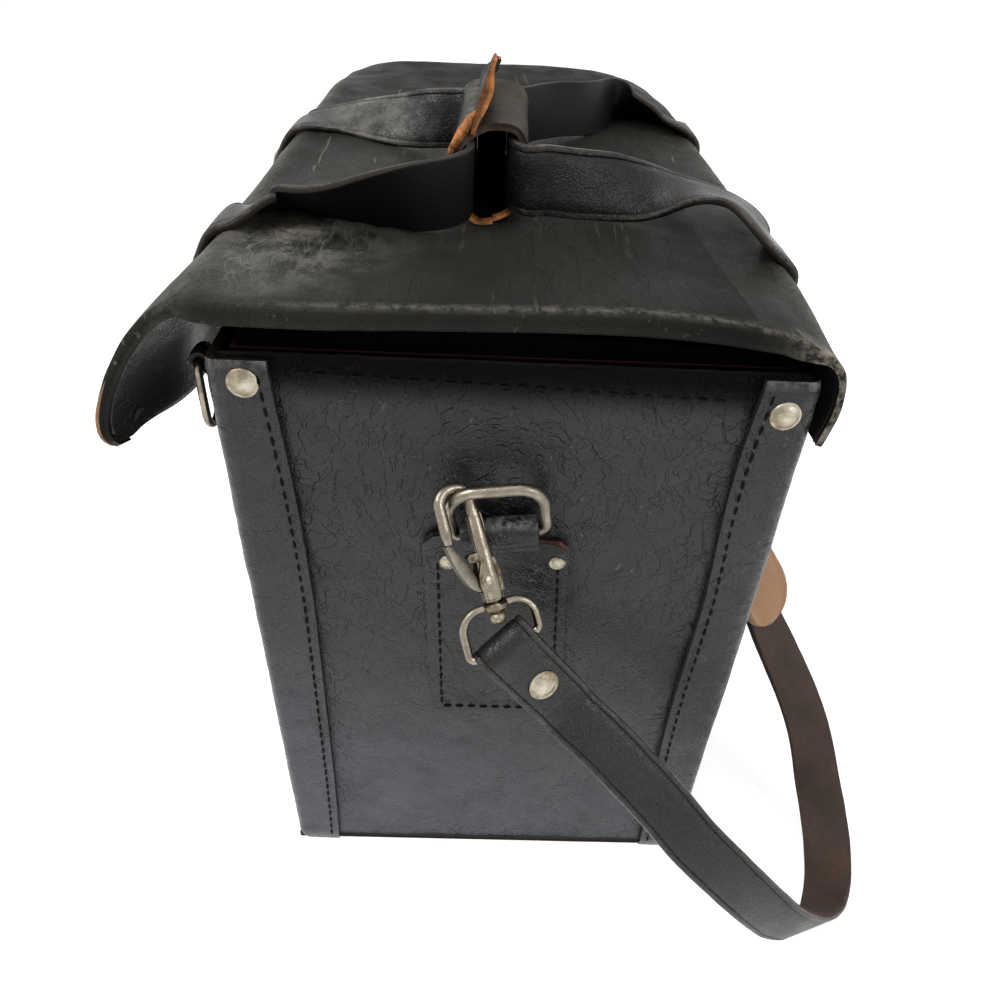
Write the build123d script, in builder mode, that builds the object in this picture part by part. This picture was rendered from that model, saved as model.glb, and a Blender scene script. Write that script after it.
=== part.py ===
"""Leather cosmetic train case: a covered board box with a leather lid, a loose front flap,
two carrying straps joined by a wrap, and a shoulder strap on swivel hooks.

Millimetres. X runs along the case, the closing flap is at -Y, the hinge at +Y, Z is up.
The origin is the centre of the bottom face."""

import math
import os

from build123d import *

os.makedirs("parts", exist_ok=True)

# Body
CASE_LENGTH = 330.0  # over the leather of the two ends
CASE_WIDTH = 165.0  # over the leather of front and back
WALL_HEIGHT = 229.0
LEATHER = 2.2
BOARD = 3.5
LINING = 1.0
CORNER_FLAP = 17.0  # front and back leather turned onto the ends
CORNER_ROUND = 2.6
LIP_THICKNESS = 2.5
LIP_DEPTH = 40.0  # how far the dust lip reaches down inside the end
LIP_INSET = 1.8

# Rivets: cap radius, cap height, shank radius
CORNER_CAP = 4.3
CORNER_CAP_HEIGHT = 1.7
CORNER_SHANK = 1.2
FRONT_RIVET_INSET = 11.0
FRONT_RIVET_DROP = 6.5
BACK_RIVET_INSET = 8.3
BACK_RIVET_DROP = 10.5
SMALL_CAP = 2.5
SMALL_CAP_HEIGHT = 1.2
SMALL_SHANK = 1.1
STRAP_CAP = 4.6
STRAP_CAP_HEIGHT = 1.5
STRAP_SHANK = 1.4

# Lid
LID_TILT = 2.0  # degrees, front edge up, as it rests on the dust lips
LID_OVERHANG = 0.8
LID_FRONT_REACH = 4.5  # lid's front edge beyond the front wall
LID_BOARD = 2.8
HINGE_RISE = 4.0  # hinge line above the wall's top edge
HINGE_STRIP_HEIGHT = 26.0
HINGE_GAP = 0.3
REST_GAP = 0.3

# Front flap, hanging from the lid's lower front edge
FLAP_THICKNESS = 3.5
FLAP_LENGTH = 48.0
FLAP_TOP_ANGLE = 45.0  # from the vertical
FLAP_TIP_ANGLE = 17.0
FLAP_CORNER = 14.0
FLAP_END_INSET = 2.0
FLAP_LINING_LENGTH = 20.0
FLAP_LINING = 0.8

# Carrying straps and their wrap
HANDLE_WIDTH = 22.0
HANDLE_THICKNESS = 3.0
HANDLE_LIFT = 2.6  # the upright run stands this far off the lid
HANDLE_PAD = 16.0  # flat end of each strap at the lid's edge
HANDLE_BEND = 9.0
FRONT_NEAR_X = 112.0
FRONT_FAR_X = -12.0
BACK_NEAR_X = 97.0
BACK_FAR_X = -57.0
HANDLE_FRONT_Y = -15.0
HANDLE_BACK_Y = -1.0
TAIL_LENGTH = 30.0
TAIL_GAP = 4.0
NEAR_BEND_X = 92.0
FRONT_FAR_BEND_X = -2.0
BACK_FAR_BEND_X = 4.0
FRONT_NEAR_KNEE = (103.0, -48.0)
FRONT_FAR_KNEE = (2.0, -48.0)
BACK_NEAR_KNEE = (87.0, 50.0)
BACK_FAR_KNEE = (-26.0, 36.0)
WRAP_NEAR_X = 84.0
WRAP_FAR_X = 8.0
WRAP_THICKNESS = 2.4
WRAP_CLEARANCE = 1.8
WRAP_ROUND = 4.4
WRAP_FLAP_ANGLE = 62.0  # from the lid, standing up
WRAP_FLAP_FAR = 17.0
WRAP_FLAP_NEAR = 5.0

# Patch and D-ring on each end
TAB_Y = -2.0
TAB_WIDTH = 44.0
TAB_BOTTOM = 88.0
TAB_TOP = 170.0
TAB_CORNER = 3.0
TAB_RIVET_OUT = 18.0
TAB_RIVET_DROP = 7.5
TONGUE_WIDTH = 22.4
RING_OUT = 5.5  # ring bar in front of the end leather
RING_HEIGHT = 177.5
RING_ROLL = 8.0
RING_LEAN = 12.0
RING_WIDTH = 27.5
RING_DROP = 18.0
RING_WIRE = 1.5
RING_FOOT_ROUND = 2.5
RING_HEAD_ROUND = 7.0
RING_CLEARANCE = 0.12

# Snap hook
HOOK_AXIS = (-0.43, -0.27, 0.86)
HOOK_ACROSS = (0.56, -0.82, -0.02)
HOOK_LENGTH = 38.0
HOOK_HALF = 4.8
HOOK_WIRE = 1.65
HOOK_BILL = 16.0
SPINE_TOP = 2.1
SPINE_FOOT = 3.0
SPINE_THICKNESS = 3.6
HOOK_SAG = 0.6  # ring wire above the middle of the hook's bow
HOOK_FOOT = 10.0
SLOT_WIDTH = 3.4
PIN_X = 1.2
PIN_Y = 7.0
PIN_RADIUS = 0.8
PIN_CLEARANCE = 0.06
GATE_EYE = 1.7
GATE_RADIUS = 14.7
GATE_THICKNESS = 0.9
GATE_WIDTH = 3.0
STUD_RADIUS = 1.5
STUD_CLEARANCE = 0.08
BALL_RADIUS = 2.2
COLLAR_RADIUS = 3.8
COLLAR_HEIGHT = 2.4
COLLAR_GAP = 0.3

# Swivel eye
EYE_WIDTH = 22.6
EYE_DROP = 13.0
EYE_WIRE = 1.2
EYE_HEAD_ROUND = 6.0
EYE_FOOT_ROUND = 1.6

# Shoulder strap
STRAP_WIDTH = 19.0
STRAP_THICKNESS = 2.8
STRAP_SEAM = 0.3
PAD_WIDTH = 34.0
PAD_THICKNESS = 5.0
PAD_GAP = 0.8

# Closure rings on the front wall
CLOSURE_INSET = 15.0  # from the end of the case
CLOSURE_OUT = 5.0
CLOSURE_BELOW_TOP = 8.0
CLOSURE_WIDTH = 12.0
CLOSURE_DROP = 21.0
CLOSURE_WIRE = 1.2
CLOSURE_HEAD_ROUND = 2.0
CLOSURE_FOOT_ROUND = 5.6
CHAPE_WIDTH = 7.6
CHAPE_THICKNESS = 1.8
CHAPE_DROP = 15.0

# Worked out from the sizes above
half_length = CASE_LENGTH / 2
half_width = CASE_WIDTH / 2
face_x = half_length + LEATHER  # outer face of the corner flaps
inner_x = half_length - LEATHER
inner_y = half_width - LEATHER
board_x = inner_x - BOARD
board_y = inner_y - BOARD
floor_z = LEATHER + BOARD
lid_thickness = LINING + LID_BOARD + LEATHER
lid_half = face_x + LID_OVERHANG
hinge_y = half_width + LEATHER + HINGE_GAP
hinge_z = WALL_HEIGHT + HINGE_RISE
lid_depth = hinge_y + half_width + LID_FRONT_REACH
closure_z = WALL_HEIGHT - CLOSURE_BELOW_TOP
closure_x = half_length - CLOSURE_INSET
tilt = math.radians(LID_TILT)
lid_plane = Plane(
    origin=(0, hinge_y, hinge_z),
    x_dir=(1, 0, 0),
    z_dir=(0, math.sin(tilt), math.cos(tilt)),
)


def save(piece, label):
    """Label a finished piece and write it."""
    piece.part.label = label
    export_step(piece.part, f"parts/{label}.step")


def save_pair(right_piece, stem):
    """Write a piece of the right end and its mirror image at the left end."""
    save(right_piece, f"{stem}_right")
    with BuildPart() as left_piece:
        mirror(right_piece.part, about=Plane.YZ)
    save(left_piece, f"{stem}_left")


def under_lid(y):
    """Height of the resting lid's underside above a place across the case."""
    return hinge_z + (hinge_y - y) * math.tan(tilt)


# Places of the rivets on an end, as (y, z, shank radius)
corner_rivet_places = [
    (-half_width + FRONT_RIVET_INSET, WALL_HEIGHT - FRONT_RIVET_DROP),
    (half_width - BACK_RIVET_INSET, WALL_HEIGHT - BACK_RIVET_DROP),
]
tab_rivet_places = [
    (TAB_Y - TAB_RIVET_OUT, TAB_TOP - TAB_RIVET_DROP),
    (TAB_Y + TAB_RIVET_OUT, TAB_TOP - TAB_RIVET_DROP),
]


def bore_ends(places, radius):
    """Bore holes along X through both ends at the given (y, z) places."""
    for y, z in places:
        with Locations((0, y, z)):
            Cylinder(radius, 2 * (face_x + LEATHER + 1), rotation=(0, 90, 0), mode=Mode.SUBTRACT)


# Boards of the box
with BuildPart() as bottom_board:
    with BuildSketch(Plane.XY.offset(LEATHER)):
        Rectangle(2 * inner_x, 2 * inner_y)
    extrude(amount=BOARD)
save(bottom_board, "bottom_board")

for name, side in (("front", -1), ("back", 1)):
    with BuildPart() as wall_board:
        with BuildSketch(Plane.XY.offset(floor_z)):
            with Locations((0, side * (inner_y - BOARD / 2))):
                Rectangle(2 * inner_x, BOARD)
        extrude(amount=WALL_HEIGHT - floor_z)
    save(wall_board, f"{name}_board")

with BuildPart() as end_board:
    with BuildSketch(Plane.XY.offset(floor_z)):
        with Locations((inner_x - BOARD / 2, 0)):
            Rectangle(BOARD, 2 * board_y)
    extrude(amount=WALL_HEIGHT - floor_z)
    bore_ends(corner_rivet_places, CORNER_SHANK)
    bore_ends(tab_rivet_places, SMALL_SHANK)
save_pair(end_board, "end_board")

# Leather of the box
with BuildPart() as bottom_leather:
    with BuildSketch():
        Rectangle(CASE_LENGTH, 2 * inner_y)
    extrude(amount=LEATHER)
save(bottom_leather, "bottom_leather")

for name, side in (("front", -1), ("back", 1)):
    with BuildPart() as wall_leather:
        with BuildSketch():
            with Locations((0, side * (half_width - CORNER_FLAP / 2))):
                Rectangle(2 * face_x, CORNER_FLAP)
            with Locations((0, side * (inner_y - CORNER_FLAP / 2))):
                Rectangle(CASE_LENGTH, CORNER_FLAP, mode=Mode.SUBTRACT)
        extrude(amount=WALL_HEIGHT)
        corners = wall_leather.edges().filter_by(Axis.Z).sort_by(Axis.Y)
        fillet(corners[:2] if side < 0 else corners[-2:], CORNER_ROUND)
        bore_ends(corner_rivet_places, CORNER_SHANK)
    save(wall_leather, f"{name}_leather")

with BuildPart() as end_leather:
    with BuildSketch(Plane.XY.offset(LEATHER)):
        with Locations((half_length - LEATHER / 2, 0)):
            Rectangle(LEATHER, 2 * inner_y)
    extrude(amount=WALL_HEIGHT - LEATHER)
    bore_ends(corner_rivet_places, CORNER_SHANK)
    bore_ends(tab_rivet_places, SMALL_SHANK)
save_pair(end_leather, "end_leather")

# Cloth-covered card that lines the box, and the leather dust lips sewn inside its ends
with BuildPart() as body_lining:
    with BuildSketch(Plane.XY.offset(floor_z)):
        Rectangle(2 * board_x, 2 * board_y)
    extrude(amount=WALL_HEIGHT - floor_z)
    with BuildSketch(Plane.XY.offset(floor_z + LINING)):
        Rectangle(2 * (board_x - LINING), 2 * (board_y - LINING))
    extrude(amount=WALL_HEIGHT, mode=Mode.SUBTRACT)
save(body_lining, "body_lining")

lip_x = board_x - LINING
lip_half = board_y - LINING - LIP_INSET
with BuildPart() as dust_lip:
    with BuildSketch(Plane.YZ.offset(lip_x - LIP_THICKNESS)):
        with BuildLine():
            Polyline(
                (-lip_half, WALL_HEIGHT - LIP_DEPTH),
                (lip_half, WALL_HEIGHT - LIP_DEPTH),
                (lip_half, under_lid(lip_half) - REST_GAP),
                (-lip_half, under_lid(-lip_half) - REST_GAP),
                close=True,
            )
        make_face()
    extrude(amount=LIP_THICKNESS)
save_pair(dust_lip, "dust_lip")

def dome_height(radius, height, out):
    """Height of a domed cap, part of a ball, at a distance out from its middle."""
    ball = (radius**2 + height**2) / (2 * height)
    return height - ball + math.sqrt(ball**2 - out**2)


# Rivets of the two ends: a low dome outside and a shank clenched under the lining
def end_rivet(y, z, outer_face, cap, cap_height, shank):
    """A rivet along X on the right end together with its mirror image on the left."""
    with BuildPart() as rivet:
        with BuildSketch(Plane(origin=(0, y, z), x_dir=(1, 0, 0), z_dir=(0, -1, 0))):
            with BuildLine():
                dome = ThreePointArc(
                    (outer_face, cap),
                    (outer_face + dome_height(cap, cap_height, cap / 2), cap / 2),
                    (outer_face + cap_height, 0),
                )
                Polyline(
                    dome @ 1,
                    (board_x, 0),
                    (board_x, shank),
                    (outer_face, shank),
                    dome @ 0,
                )
            make_face()
        revolve(axis=Axis((0, y, z), (1, 0, 0)))
        mirror(about=Plane.YZ)
    return rivet.part


with BuildPart() as corner_rivets:
    for place_y, place_z in corner_rivet_places:
        add(
            end_rivet(place_y, place_z, face_x, CORNER_CAP, CORNER_CAP_HEIGHT, CORNER_SHANK)
        )
save(corner_rivets, "corner_rivets")

with BuildPart() as tab_rivets:
    for place_y, place_z in tab_rivet_places:
        add(
            end_rivet(place_y, place_z, face_x, SMALL_CAP, SMALL_CAP_HEIGHT, SMALL_SHANK)
        )
save(tab_rivets, "tab_rivets")

# Leather strip on the back that carries the hinge line
with BuildPart() as hinge_strip:
    with BuildSketch(Plane.XY.offset(hinge_z - HINGE_GAP - HINGE_STRIP_HEIGHT)):
        with Locations((0, half_width + LEATHER / 2)):
            Rectangle(2 * face_x, LEATHER)
    extrude(amount=HINGE_STRIP_HEIGHT)
save(hinge_strip, "hinge_strip")

# Lid: lining, board and a leather cover turned down at all four edges
lid_inner = 2 * (lid_half - LEATHER)
lid_inner_depth = lid_depth - 2 * LEATHER
with BuildPart() as lid_lining:
    with BuildSketch(lid_plane):
        with Locations((0, -lid_depth / 2)):
            Rectangle(lid_inner, lid_inner_depth)
    extrude(amount=LINING)
save(lid_lining, "lid_lining")

with BuildPart() as lid_board:
    with BuildSketch(lid_plane.offset(LINING)):
        with Locations((0, -lid_depth / 2)):
            Rectangle(lid_inner, lid_inner_depth)
    extrude(amount=LID_BOARD)
save(lid_board, "lid_board")

with BuildPart() as lid_leather:
    with BuildSketch(lid_plane):
        with Locations((0, -lid_depth / 2)):
            RectangleRounded(2 * lid_half, lid_depth, LEATHER)
    extrude(amount=lid_thickness)
    with BuildSketch(lid_plane):
        with Locations((0, -lid_depth / 2)):
            Rectangle(lid_inner, lid_inner_depth)
    extrude(amount=LINING + LID_BOARD, mode=Mode.SUBTRACT)
save(lid_leather, "lid_leather")

# Front flap: a stiff leather sheet that flares out and curls back towards its tip
flap_hinge = (hinge_y - lid_depth * math.cos(tilt), hinge_z + lid_depth * math.sin(tilt))
flap_sweep = FLAP_TOP_ANGLE - FLAP_TIP_ANGLE
flap_radius = FLAP_LENGTH / math.radians(flap_sweep)
flap_start = 180 - FLAP_TOP_ANGLE
flap_centre = (
    flap_hinge[0] - flap_radius * math.cos(math.radians(flap_start)),
    flap_hinge[1] - flap_radius * math.sin(math.radians(flap_start)),
)


def curved_sheet(outer_radius, thickness, start, length, x_low, x_high):
    """A sheet that follows the flap's curve, given by its outer face and its run along it."""
    first = flap_start + math.degrees(start / flap_radius)
    sweep_angle = math.degrees(length / flap_radius)
    inner_radius = outer_radius - thickness
    with BuildPart() as sheet:
        with BuildSketch(Plane.YZ.offset(x_low)):
            with BuildLine():
                outer = CenterArc(flap_centre, outer_radius, first, sweep_angle)
                inner = CenterArc(flap_centre, inner_radius, first, sweep_angle)
                Line(outer @ 0, inner @ 0)
                Line(outer @ 1, inner @ 1)
            make_face()
        extrude(amount=x_high - x_low)
    return sheet.part


flap_half = lid_half - FLAP_END_INSET
with BuildPart() as front_flap:
    add(
        curved_sheet(
            flap_radius, FLAP_THICKNESS, REST_GAP, FLAP_LENGTH - REST_GAP, -flap_half, flap_half
        )
    )
    tip_edges = front_flap.edges().filter_by(GeomType.LINE).group_by(Axis.Z)[0:3]
    short_edges = [e for group in tip_edges for e in group if e.length < FLAP_THICKNESS + 1]
    fillet(short_edges, FLAP_CORNER)
save(front_flap, "front_flap")

with BuildPart() as flap_lining:
    add(
        curved_sheet(
            flap_radius - FLAP_THICKNESS, FLAP_LINING, LINING, FLAP_LINING_LENGTH,
            -flap_half + LEATHER, flap_half - LEATHER,
        )
    )
save(flap_lining, "flap_lining")

# Carrying straps: each stands on edge, bows to the middle and ends flat at the lid's edge
handle_base = lid_thickness + HANDLE_LIFT
handle_top = handle_base + HANDLE_WIDTH


def from_hinge(y):
    """Distance in the lid's plane from its hinge line to a place across the case."""
    return (y - hinge_y) / math.cos(tilt)


def handle_strap(route, pad_places):
    """An upright strap along a route over the lid, with a flat pad at each end."""
    points = [(x, from_hinge(y)) for x, y in route]
    with BuildPart() as strap:
        with BuildSketch(lid_plane.offset(handle_base)):
            with BuildLine():
                FilletPolyline(*points, radius=HANDLE_BEND)
                offset(amount=HANDLE_THICKNESS / 2, kind=Kind.INTERSECTION)
            make_face()
        extrude(amount=HANDLE_WIDTH)
        with BuildSketch(lid_plane.offset(lid_thickness)):
            for x, y in pad_places:
                with Locations((x, from_hinge(y))):
                    Rectangle(HANDLE_WIDTH, HANDLE_PAD)
        extrude(amount=HANDLE_THICKNESS)
    return strap.part


lid_front = -lid_depth + hinge_y
front_pad_y = lid_front + HANDLE_PAD / 2
back_pad_y = hinge_y - HANDLE_PAD / 2
with BuildPart() as front_handle:
    add(
        handle_strap(
            [
                (FRONT_NEAR_X, front_pad_y),
                FRONT_NEAR_KNEE,
                (NEAR_BEND_X, HANDLE_FRONT_Y),
                (FRONT_FAR_BEND_X, HANDLE_FRONT_Y),
                FRONT_FAR_KNEE,
                (FRONT_FAR_X, front_pad_y),
            ],
            [(FRONT_NEAR_X, front_pad_y), (FRONT_FAR_X, front_pad_y)],
        )
    )
save(front_handle, "front_handle")

with BuildPart() as back_handle:
    add(
        handle_strap(
            [
                (BACK_NEAR_X, back_pad_y),
                BACK_NEAR_KNEE,
                (NEAR_BEND_X, HANDLE_BACK_Y),
                (BACK_FAR_BEND_X, HANDLE_BACK_Y),
                BACK_FAR_KNEE,
                (BACK_FAR_X, back_pad_y),
            ],
            [(BACK_NEAR_X, back_pad_y), (BACK_FAR_X, back_pad_y)],
        )
    )
save(back_handle, "back_handle")

# Tails of the carrying straps, riveted below the two fold lines
with BuildPart() as front_tails:
    for tail_x in (FRONT_NEAR_X, FRONT_FAR_X):
        add(
            curved_sheet(
                flap_radius + HANDLE_THICKNESS, HANDLE_THICKNESS, TAIL_GAP, TAIL_LENGTH,
                tail_x - HANDLE_WIDTH / 2, tail_x + HANDLE_WIDTH / 2,
            )
        )
save(front_tails, "front_tails")

back_tail_top = hinge_z - TAIL_GAP
back_tail_face = half_width + LEATHER
with BuildPart() as back_tails:
    with BuildSketch(Plane.XY.offset(back_tail_top - TAIL_LENGTH)):
        for tail_x in (BACK_NEAR_X, BACK_FAR_X):
            with Locations((tail_x, back_tail_face + HANDLE_THICKNESS / 2)):
                Rectangle(HANDLE_WIDTH, HANDLE_THICKNESS)
    extrude(amount=TAIL_LENGTH)
save(back_tails, "back_tails")


def cap_on(plane, radius, height):
    """A low domed rivet cap that sits on a plane."""
    with BuildPart() as cap:
        with BuildSketch(Plane(origin=plane.origin, x_dir=plane.x_dir, z_dir=-plane.y_dir)):
            with BuildLine():
                shoulder = (radius / 2, dome_height(radius, height, radius / 2))
                dome = ThreePointArc((radius, 0), shoulder, (0, height))
                Polyline(dome @ 1, (0, 0), dome @ 0)
            make_face()
        revolve(axis=Axis(plane.origin, plane.z_dir))
    return cap.part


tail_rivet_angle = math.radians(flap_start) + (TAIL_GAP + TAIL_LENGTH / 2) / flap_radius
tail_radius = flap_radius + HANDLE_THICKNESS
tail_rivet_out = (0, math.cos(tail_rivet_angle), math.sin(tail_rivet_angle))
with BuildPart() as front_tail_rivets:
    for tail_x in (FRONT_NEAR_X, FRONT_FAR_X):
        seat = Plane(
            origin=(
                tail_x,
                flap_centre[0] + tail_radius * tail_rivet_out[1],
                flap_centre[1] + tail_radius * tail_rivet_out[2],
            ),
            x_dir=(1, 0, 0),
            z_dir=tail_rivet_out,
        )
        add(cap_on(seat, STRAP_CAP, STRAP_CAP_HEIGHT))
save(front_tail_rivets, "front_tail_rivets")

with BuildPart() as back_tail_rivets:
    for tail_x in (BACK_NEAR_X, BACK_FAR_X):
        seat = Plane(
            origin=(
                tail_x,
                back_tail_face + HANDLE_THICKNESS,
                back_tail_top - TAIL_LENGTH / 2,
            ),
            x_dir=(1, 0, 0),
            z_dir=(0, 1, 0),
        )
        add(cap_on(seat, STRAP_CAP, STRAP_CAP_HEIGHT))
save(back_tail_rivets, "back_tail_rivets")

# Wrap that holds the two straps together, and its loose standing end
wrap_low_y = HANDLE_FRONT_Y - HANDLE_THICKNESS / 2 - WRAP_CLEARANCE
wrap_high_y = HANDLE_BACK_Y + HANDLE_THICKNESS / 2 + WRAP_CLEARANCE
wrap_floor = handle_base - REST_GAP / 2
wrap_roof = handle_top + REST_GAP
wrap_mid = (from_hinge(wrap_low_y) + from_hinge(wrap_high_y)) / 2
wrap_span = wrap_high_y - wrap_low_y
wrap_section = Plane(
    origin=lid_plane.from_local_coords((WRAP_FAR_X, wrap_mid, (wrap_floor + wrap_roof) / 2)),
    x_dir=lid_plane.y_dir,
    z_dir=(1, 0, 0),
)
with BuildPart() as handle_wrap:
    with BuildSketch(wrap_section):
        RectangleRounded(
            wrap_span + 2 * WRAP_THICKNESS, wrap_roof - wrap_floor + 2 * WRAP_THICKNESS, WRAP_ROUND
        )
        RectangleRounded(
            wrap_span, wrap_roof - wrap_floor, WRAP_ROUND - WRAP_THICKNESS, mode=Mode.SUBTRACT
        )
    extrude(amount=WRAP_NEAR_X - WRAP_FAR_X)
save(handle_wrap, "handle_wrap")

wrap_flap_angle = math.radians(WRAP_FLAP_ANGLE)
wrap_flap_root = lid_plane.from_local_coords(
    (
        WRAP_FAR_X,
        wrap_mid - wrap_span / 2 + WRAP_ROUND,
        wrap_roof + WRAP_THICKNESS + REST_GAP,
    )
)
wrap_flap_up = (
    lid_plane.y_dir * math.cos(wrap_flap_angle) + lid_plane.z_dir * math.sin(wrap_flap_angle)
)
wrap_flap_plane = Plane(
    origin=wrap_flap_root,
    x_dir=(1, 0, 0),
    z_dir=Vector(1, 0, 0).cross(wrap_flap_up),
)
wrap_length = WRAP_NEAR_X - WRAP_FAR_X
with BuildPart() as wrap_flap:
    with BuildSketch(wrap_flap_plane):
        with BuildLine():
            Polyline(
                (0, 0),
                (wrap_length, 0),
                (wrap_length, WRAP_FLAP_NEAR),
                (0, WRAP_FLAP_FAR),
                close=True,
            )
        make_face()
    extrude(amount=WRAP_THICKNESS)
save(wrap_flap, "wrap_flap")

# Patch on the end, with a tongue that is folded round the bar of the D-ring
roll = math.radians(RING_ROLL)
lean = math.radians(RING_LEAN)
bar_centre = Vector(half_length + RING_OUT, TAB_Y, RING_HEIGHT)
bar_dir = Vector(0, math.cos(roll), math.sin(roll))
bar_up = Vector(0, -math.sin(roll), math.cos(roll))
ring_up = Vector(1, 0, 0) * math.sin(lean) + bar_up * math.cos(lean)
tongue_plane = Plane(origin=bar_centre, x_dir=(1, 0, 0), z_dir=-bar_dir)
ring_plane = Plane(origin=bar_centre, x_dir=bar_dir, z_dir=bar_dir.cross(ring_up))
tongue_bore = RING_WIRE + RING_CLEARANCE
tongue_round = tongue_bore + LEATHER
tongue_foot = TAB_TOP - RING_HEIGHT - LEATHER
with BuildPart() as end_tab:
    with BuildSketch(Plane.YZ.offset(half_length)):
        with Locations((TAB_Y, (TAB_BOTTOM + TAB_TOP) / 2)):
            RectangleRounded(TAB_WIDTH, TAB_TOP - TAB_BOTTOM, TAB_CORNER)
    extrude(amount=LEATHER)
    with BuildSketch(tongue_plane):
        Circle(tongue_round)
        with BuildLine():
            Polyline(
                (-RING_OUT, tongue_foot),
                (-RING_OUT + LEATHER, tongue_foot),
                (tongue_round, 0),
                (-tongue_round, 0),
                close=True,
            )
        make_face()
        Circle(tongue_bore, mode=Mode.SUBTRACT)
    extrude(amount=TONGUE_WIDTH / 2, both=True)
    bore_ends(tab_rivet_places, SMALL_SHANK)
save_pair(end_tab, "end_tab")

with BuildPart() as d_ring:
    with BuildLine(ring_plane) as ring_path:
        FilletPolyline(
            (0, 0),
            (RING_WIDTH / 2, 0),
            (RING_WIDTH / 2, RING_DROP),
            (-RING_WIDTH / 2, RING_DROP),
            (-RING_WIDTH / 2, 0),
            (0, 0),
            radius=[0, RING_FOOT_ROUND, RING_HEAD_ROUND, RING_HEAD_ROUND, RING_FOOT_ROUND],
        )
    with BuildSketch(Plane(origin=bar_centre, x_dir=(1, 0, 0), z_dir=bar_dir)):
        Circle(RING_WIRE)
    sweep(path=ring_path.wire())
save_pair(d_ring, "d_ring")

# Snap hook, hung on the rounded corner of the ring
corner_turn = RING_HEAD_ROUND * (1 - math.sqrt(0.5))
hook_grip = ring_plane.from_local_coords(
    (-RING_WIDTH / 2 + corner_turn, RING_DROP - corner_turn, 0)
)
hook_up = Vector(*HOOK_AXIS).normalized()
hook_side = Vector(*HOOK_ACROSS)
hook_side = (hook_side - hook_up * hook_side.dot(hook_up)).normalized()
bow_centre = hook_grip - hook_up * HOOK_SAG
hook_foot = bow_centre - hook_side * HOOK_HALF - hook_up * (HOOK_LENGTH - HOOK_WIRE - HOOK_HALF)
hook_plane = Plane(origin=hook_foot, x_dir=hook_side, z_dir=hook_side.cross(hook_up))
arch_y = HOOK_LENGTH - HOOK_WIRE - HOOK_HALF
spine_y = arch_y - HOOK_HALF
bill_end = arch_y + HOOK_HALF - HOOK_BILL
with BuildPart() as hook:
    with BuildLine(hook_plane) as hook_path:
        rise = Line((0, spine_y - HOOK_HALF), (0, arch_y))
        bow = CenterArc((HOOK_HALF, arch_y), HOOK_HALF, 180, -180)
        Line(bow @ 1, (2 * HOOK_HALF, bill_end))
    with BuildSketch(
        Plane(origin=hook_path.wire() @ 0, x_dir=hook_side, z_dir=hook_up)
    ):
        Circle(HOOK_WIRE)
    sweep(path=hook_path.wire())
    with BuildSketch(hook_plane):
        with BuildLine():
            Polyline(
                (-SPINE_FOOT, 0),
                (SPINE_FOOT, 0),
                (SPINE_FOOT, HOOK_FOOT),
                (SPINE_TOP, HOOK_FOOT + SPINE_FOOT),
                (SPINE_TOP, spine_y),
                (-SPINE_TOP, spine_y),
                close=True,
            )
        make_face()
    extrude(amount=SPINE_THICKNESS / 2, both=True)
    with BuildSketch(hook_plane):
        with BuildLine():
            Polyline(
                (PIN_X - GATE_EYE - REST_GAP, PIN_Y - GATE_EYE - REST_GAP),
                (SPINE_FOOT + 1, PIN_Y - GATE_EYE - REST_GAP),
                (SPINE_FOOT + 1, HOOK_FOOT + 2 * SPINE_FOOT),
                (SPINE_TOP, HOOK_FOOT + 2 * SPINE_FOOT),
                (PIN_X - GATE_EYE - REST_GAP, PIN_Y + GATE_EYE + REST_GAP),
                close=True,
            )
        make_face()
    extrude(amount=SLOT_WIDTH / 2, both=True, mode=Mode.SUBTRACT)
    with Locations(hook_plane):
        with Locations((PIN_X, PIN_Y, 0)):
            Cylinder(PIN_RADIUS, 4 * SPINE_THICKNESS, mode=Mode.SUBTRACT)
    stud_drop = 2 * COLLAR_GAP + COLLAR_HEIGHT
    with BuildSketch(Plane(origin=hook_foot, x_dir=hook_side, z_dir=-hook_up)):
        Circle(STUD_RADIUS)
    extrude(amount=stud_drop + BALL_RADIUS)
    with Locations(Plane(origin=hook_foot - hook_up * (stud_drop + BALL_RADIUS * 0.95))):
        Sphere(BALL_RADIUS)
save_pair(hook, "snap_hook")

with BuildPart() as gate_pin:
    with Locations(hook_plane):
        with Locations((PIN_X, PIN_Y, 0)):
            Cylinder(PIN_RADIUS, SPINE_THICKNESS + 0.6)
save_pair(gate_pin, "gate_pin")

gate_rise = math.atan2(bill_end - PIN_Y, 2 * HOOK_HALF + HOOK_WIRE / 2 - PIN_X)
gate_tip = (
    PIN_X + GATE_RADIUS * math.cos(gate_rise),
    PIN_Y + GATE_RADIUS * math.sin(gate_rise),
)
gate_root = (PIN_X + GATE_EYE * math.sin(gate_rise), PIN_Y - GATE_EYE * math.cos(gate_rise))
with BuildPart() as gate:
    with BuildSketch(hook_plane):
        with Locations((PIN_X, PIN_Y)):
            Circle(GATE_EYE)
        with BuildLine():
            leaf_in = (
                gate_root[0] - GATE_THICKNESS * math.sin(gate_rise),
                gate_root[1] + GATE_THICKNESS * math.cos(gate_rise),
            )
            tip_in = (
                gate_tip[0] - GATE_THICKNESS * math.sin(gate_rise),
                gate_tip[1] + GATE_THICKNESS * math.cos(gate_rise),
            )
            Polyline(gate_root, gate_tip, tip_in, leaf_in, close=True)
        make_face()
        with Locations((PIN_X, PIN_Y)):
            Circle(PIN_RADIUS + PIN_CLEARANCE, mode=Mode.SUBTRACT)
    extrude(amount=GATE_WIDTH / 2, both=True)
save_pair(gate, "hook_gate")

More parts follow.
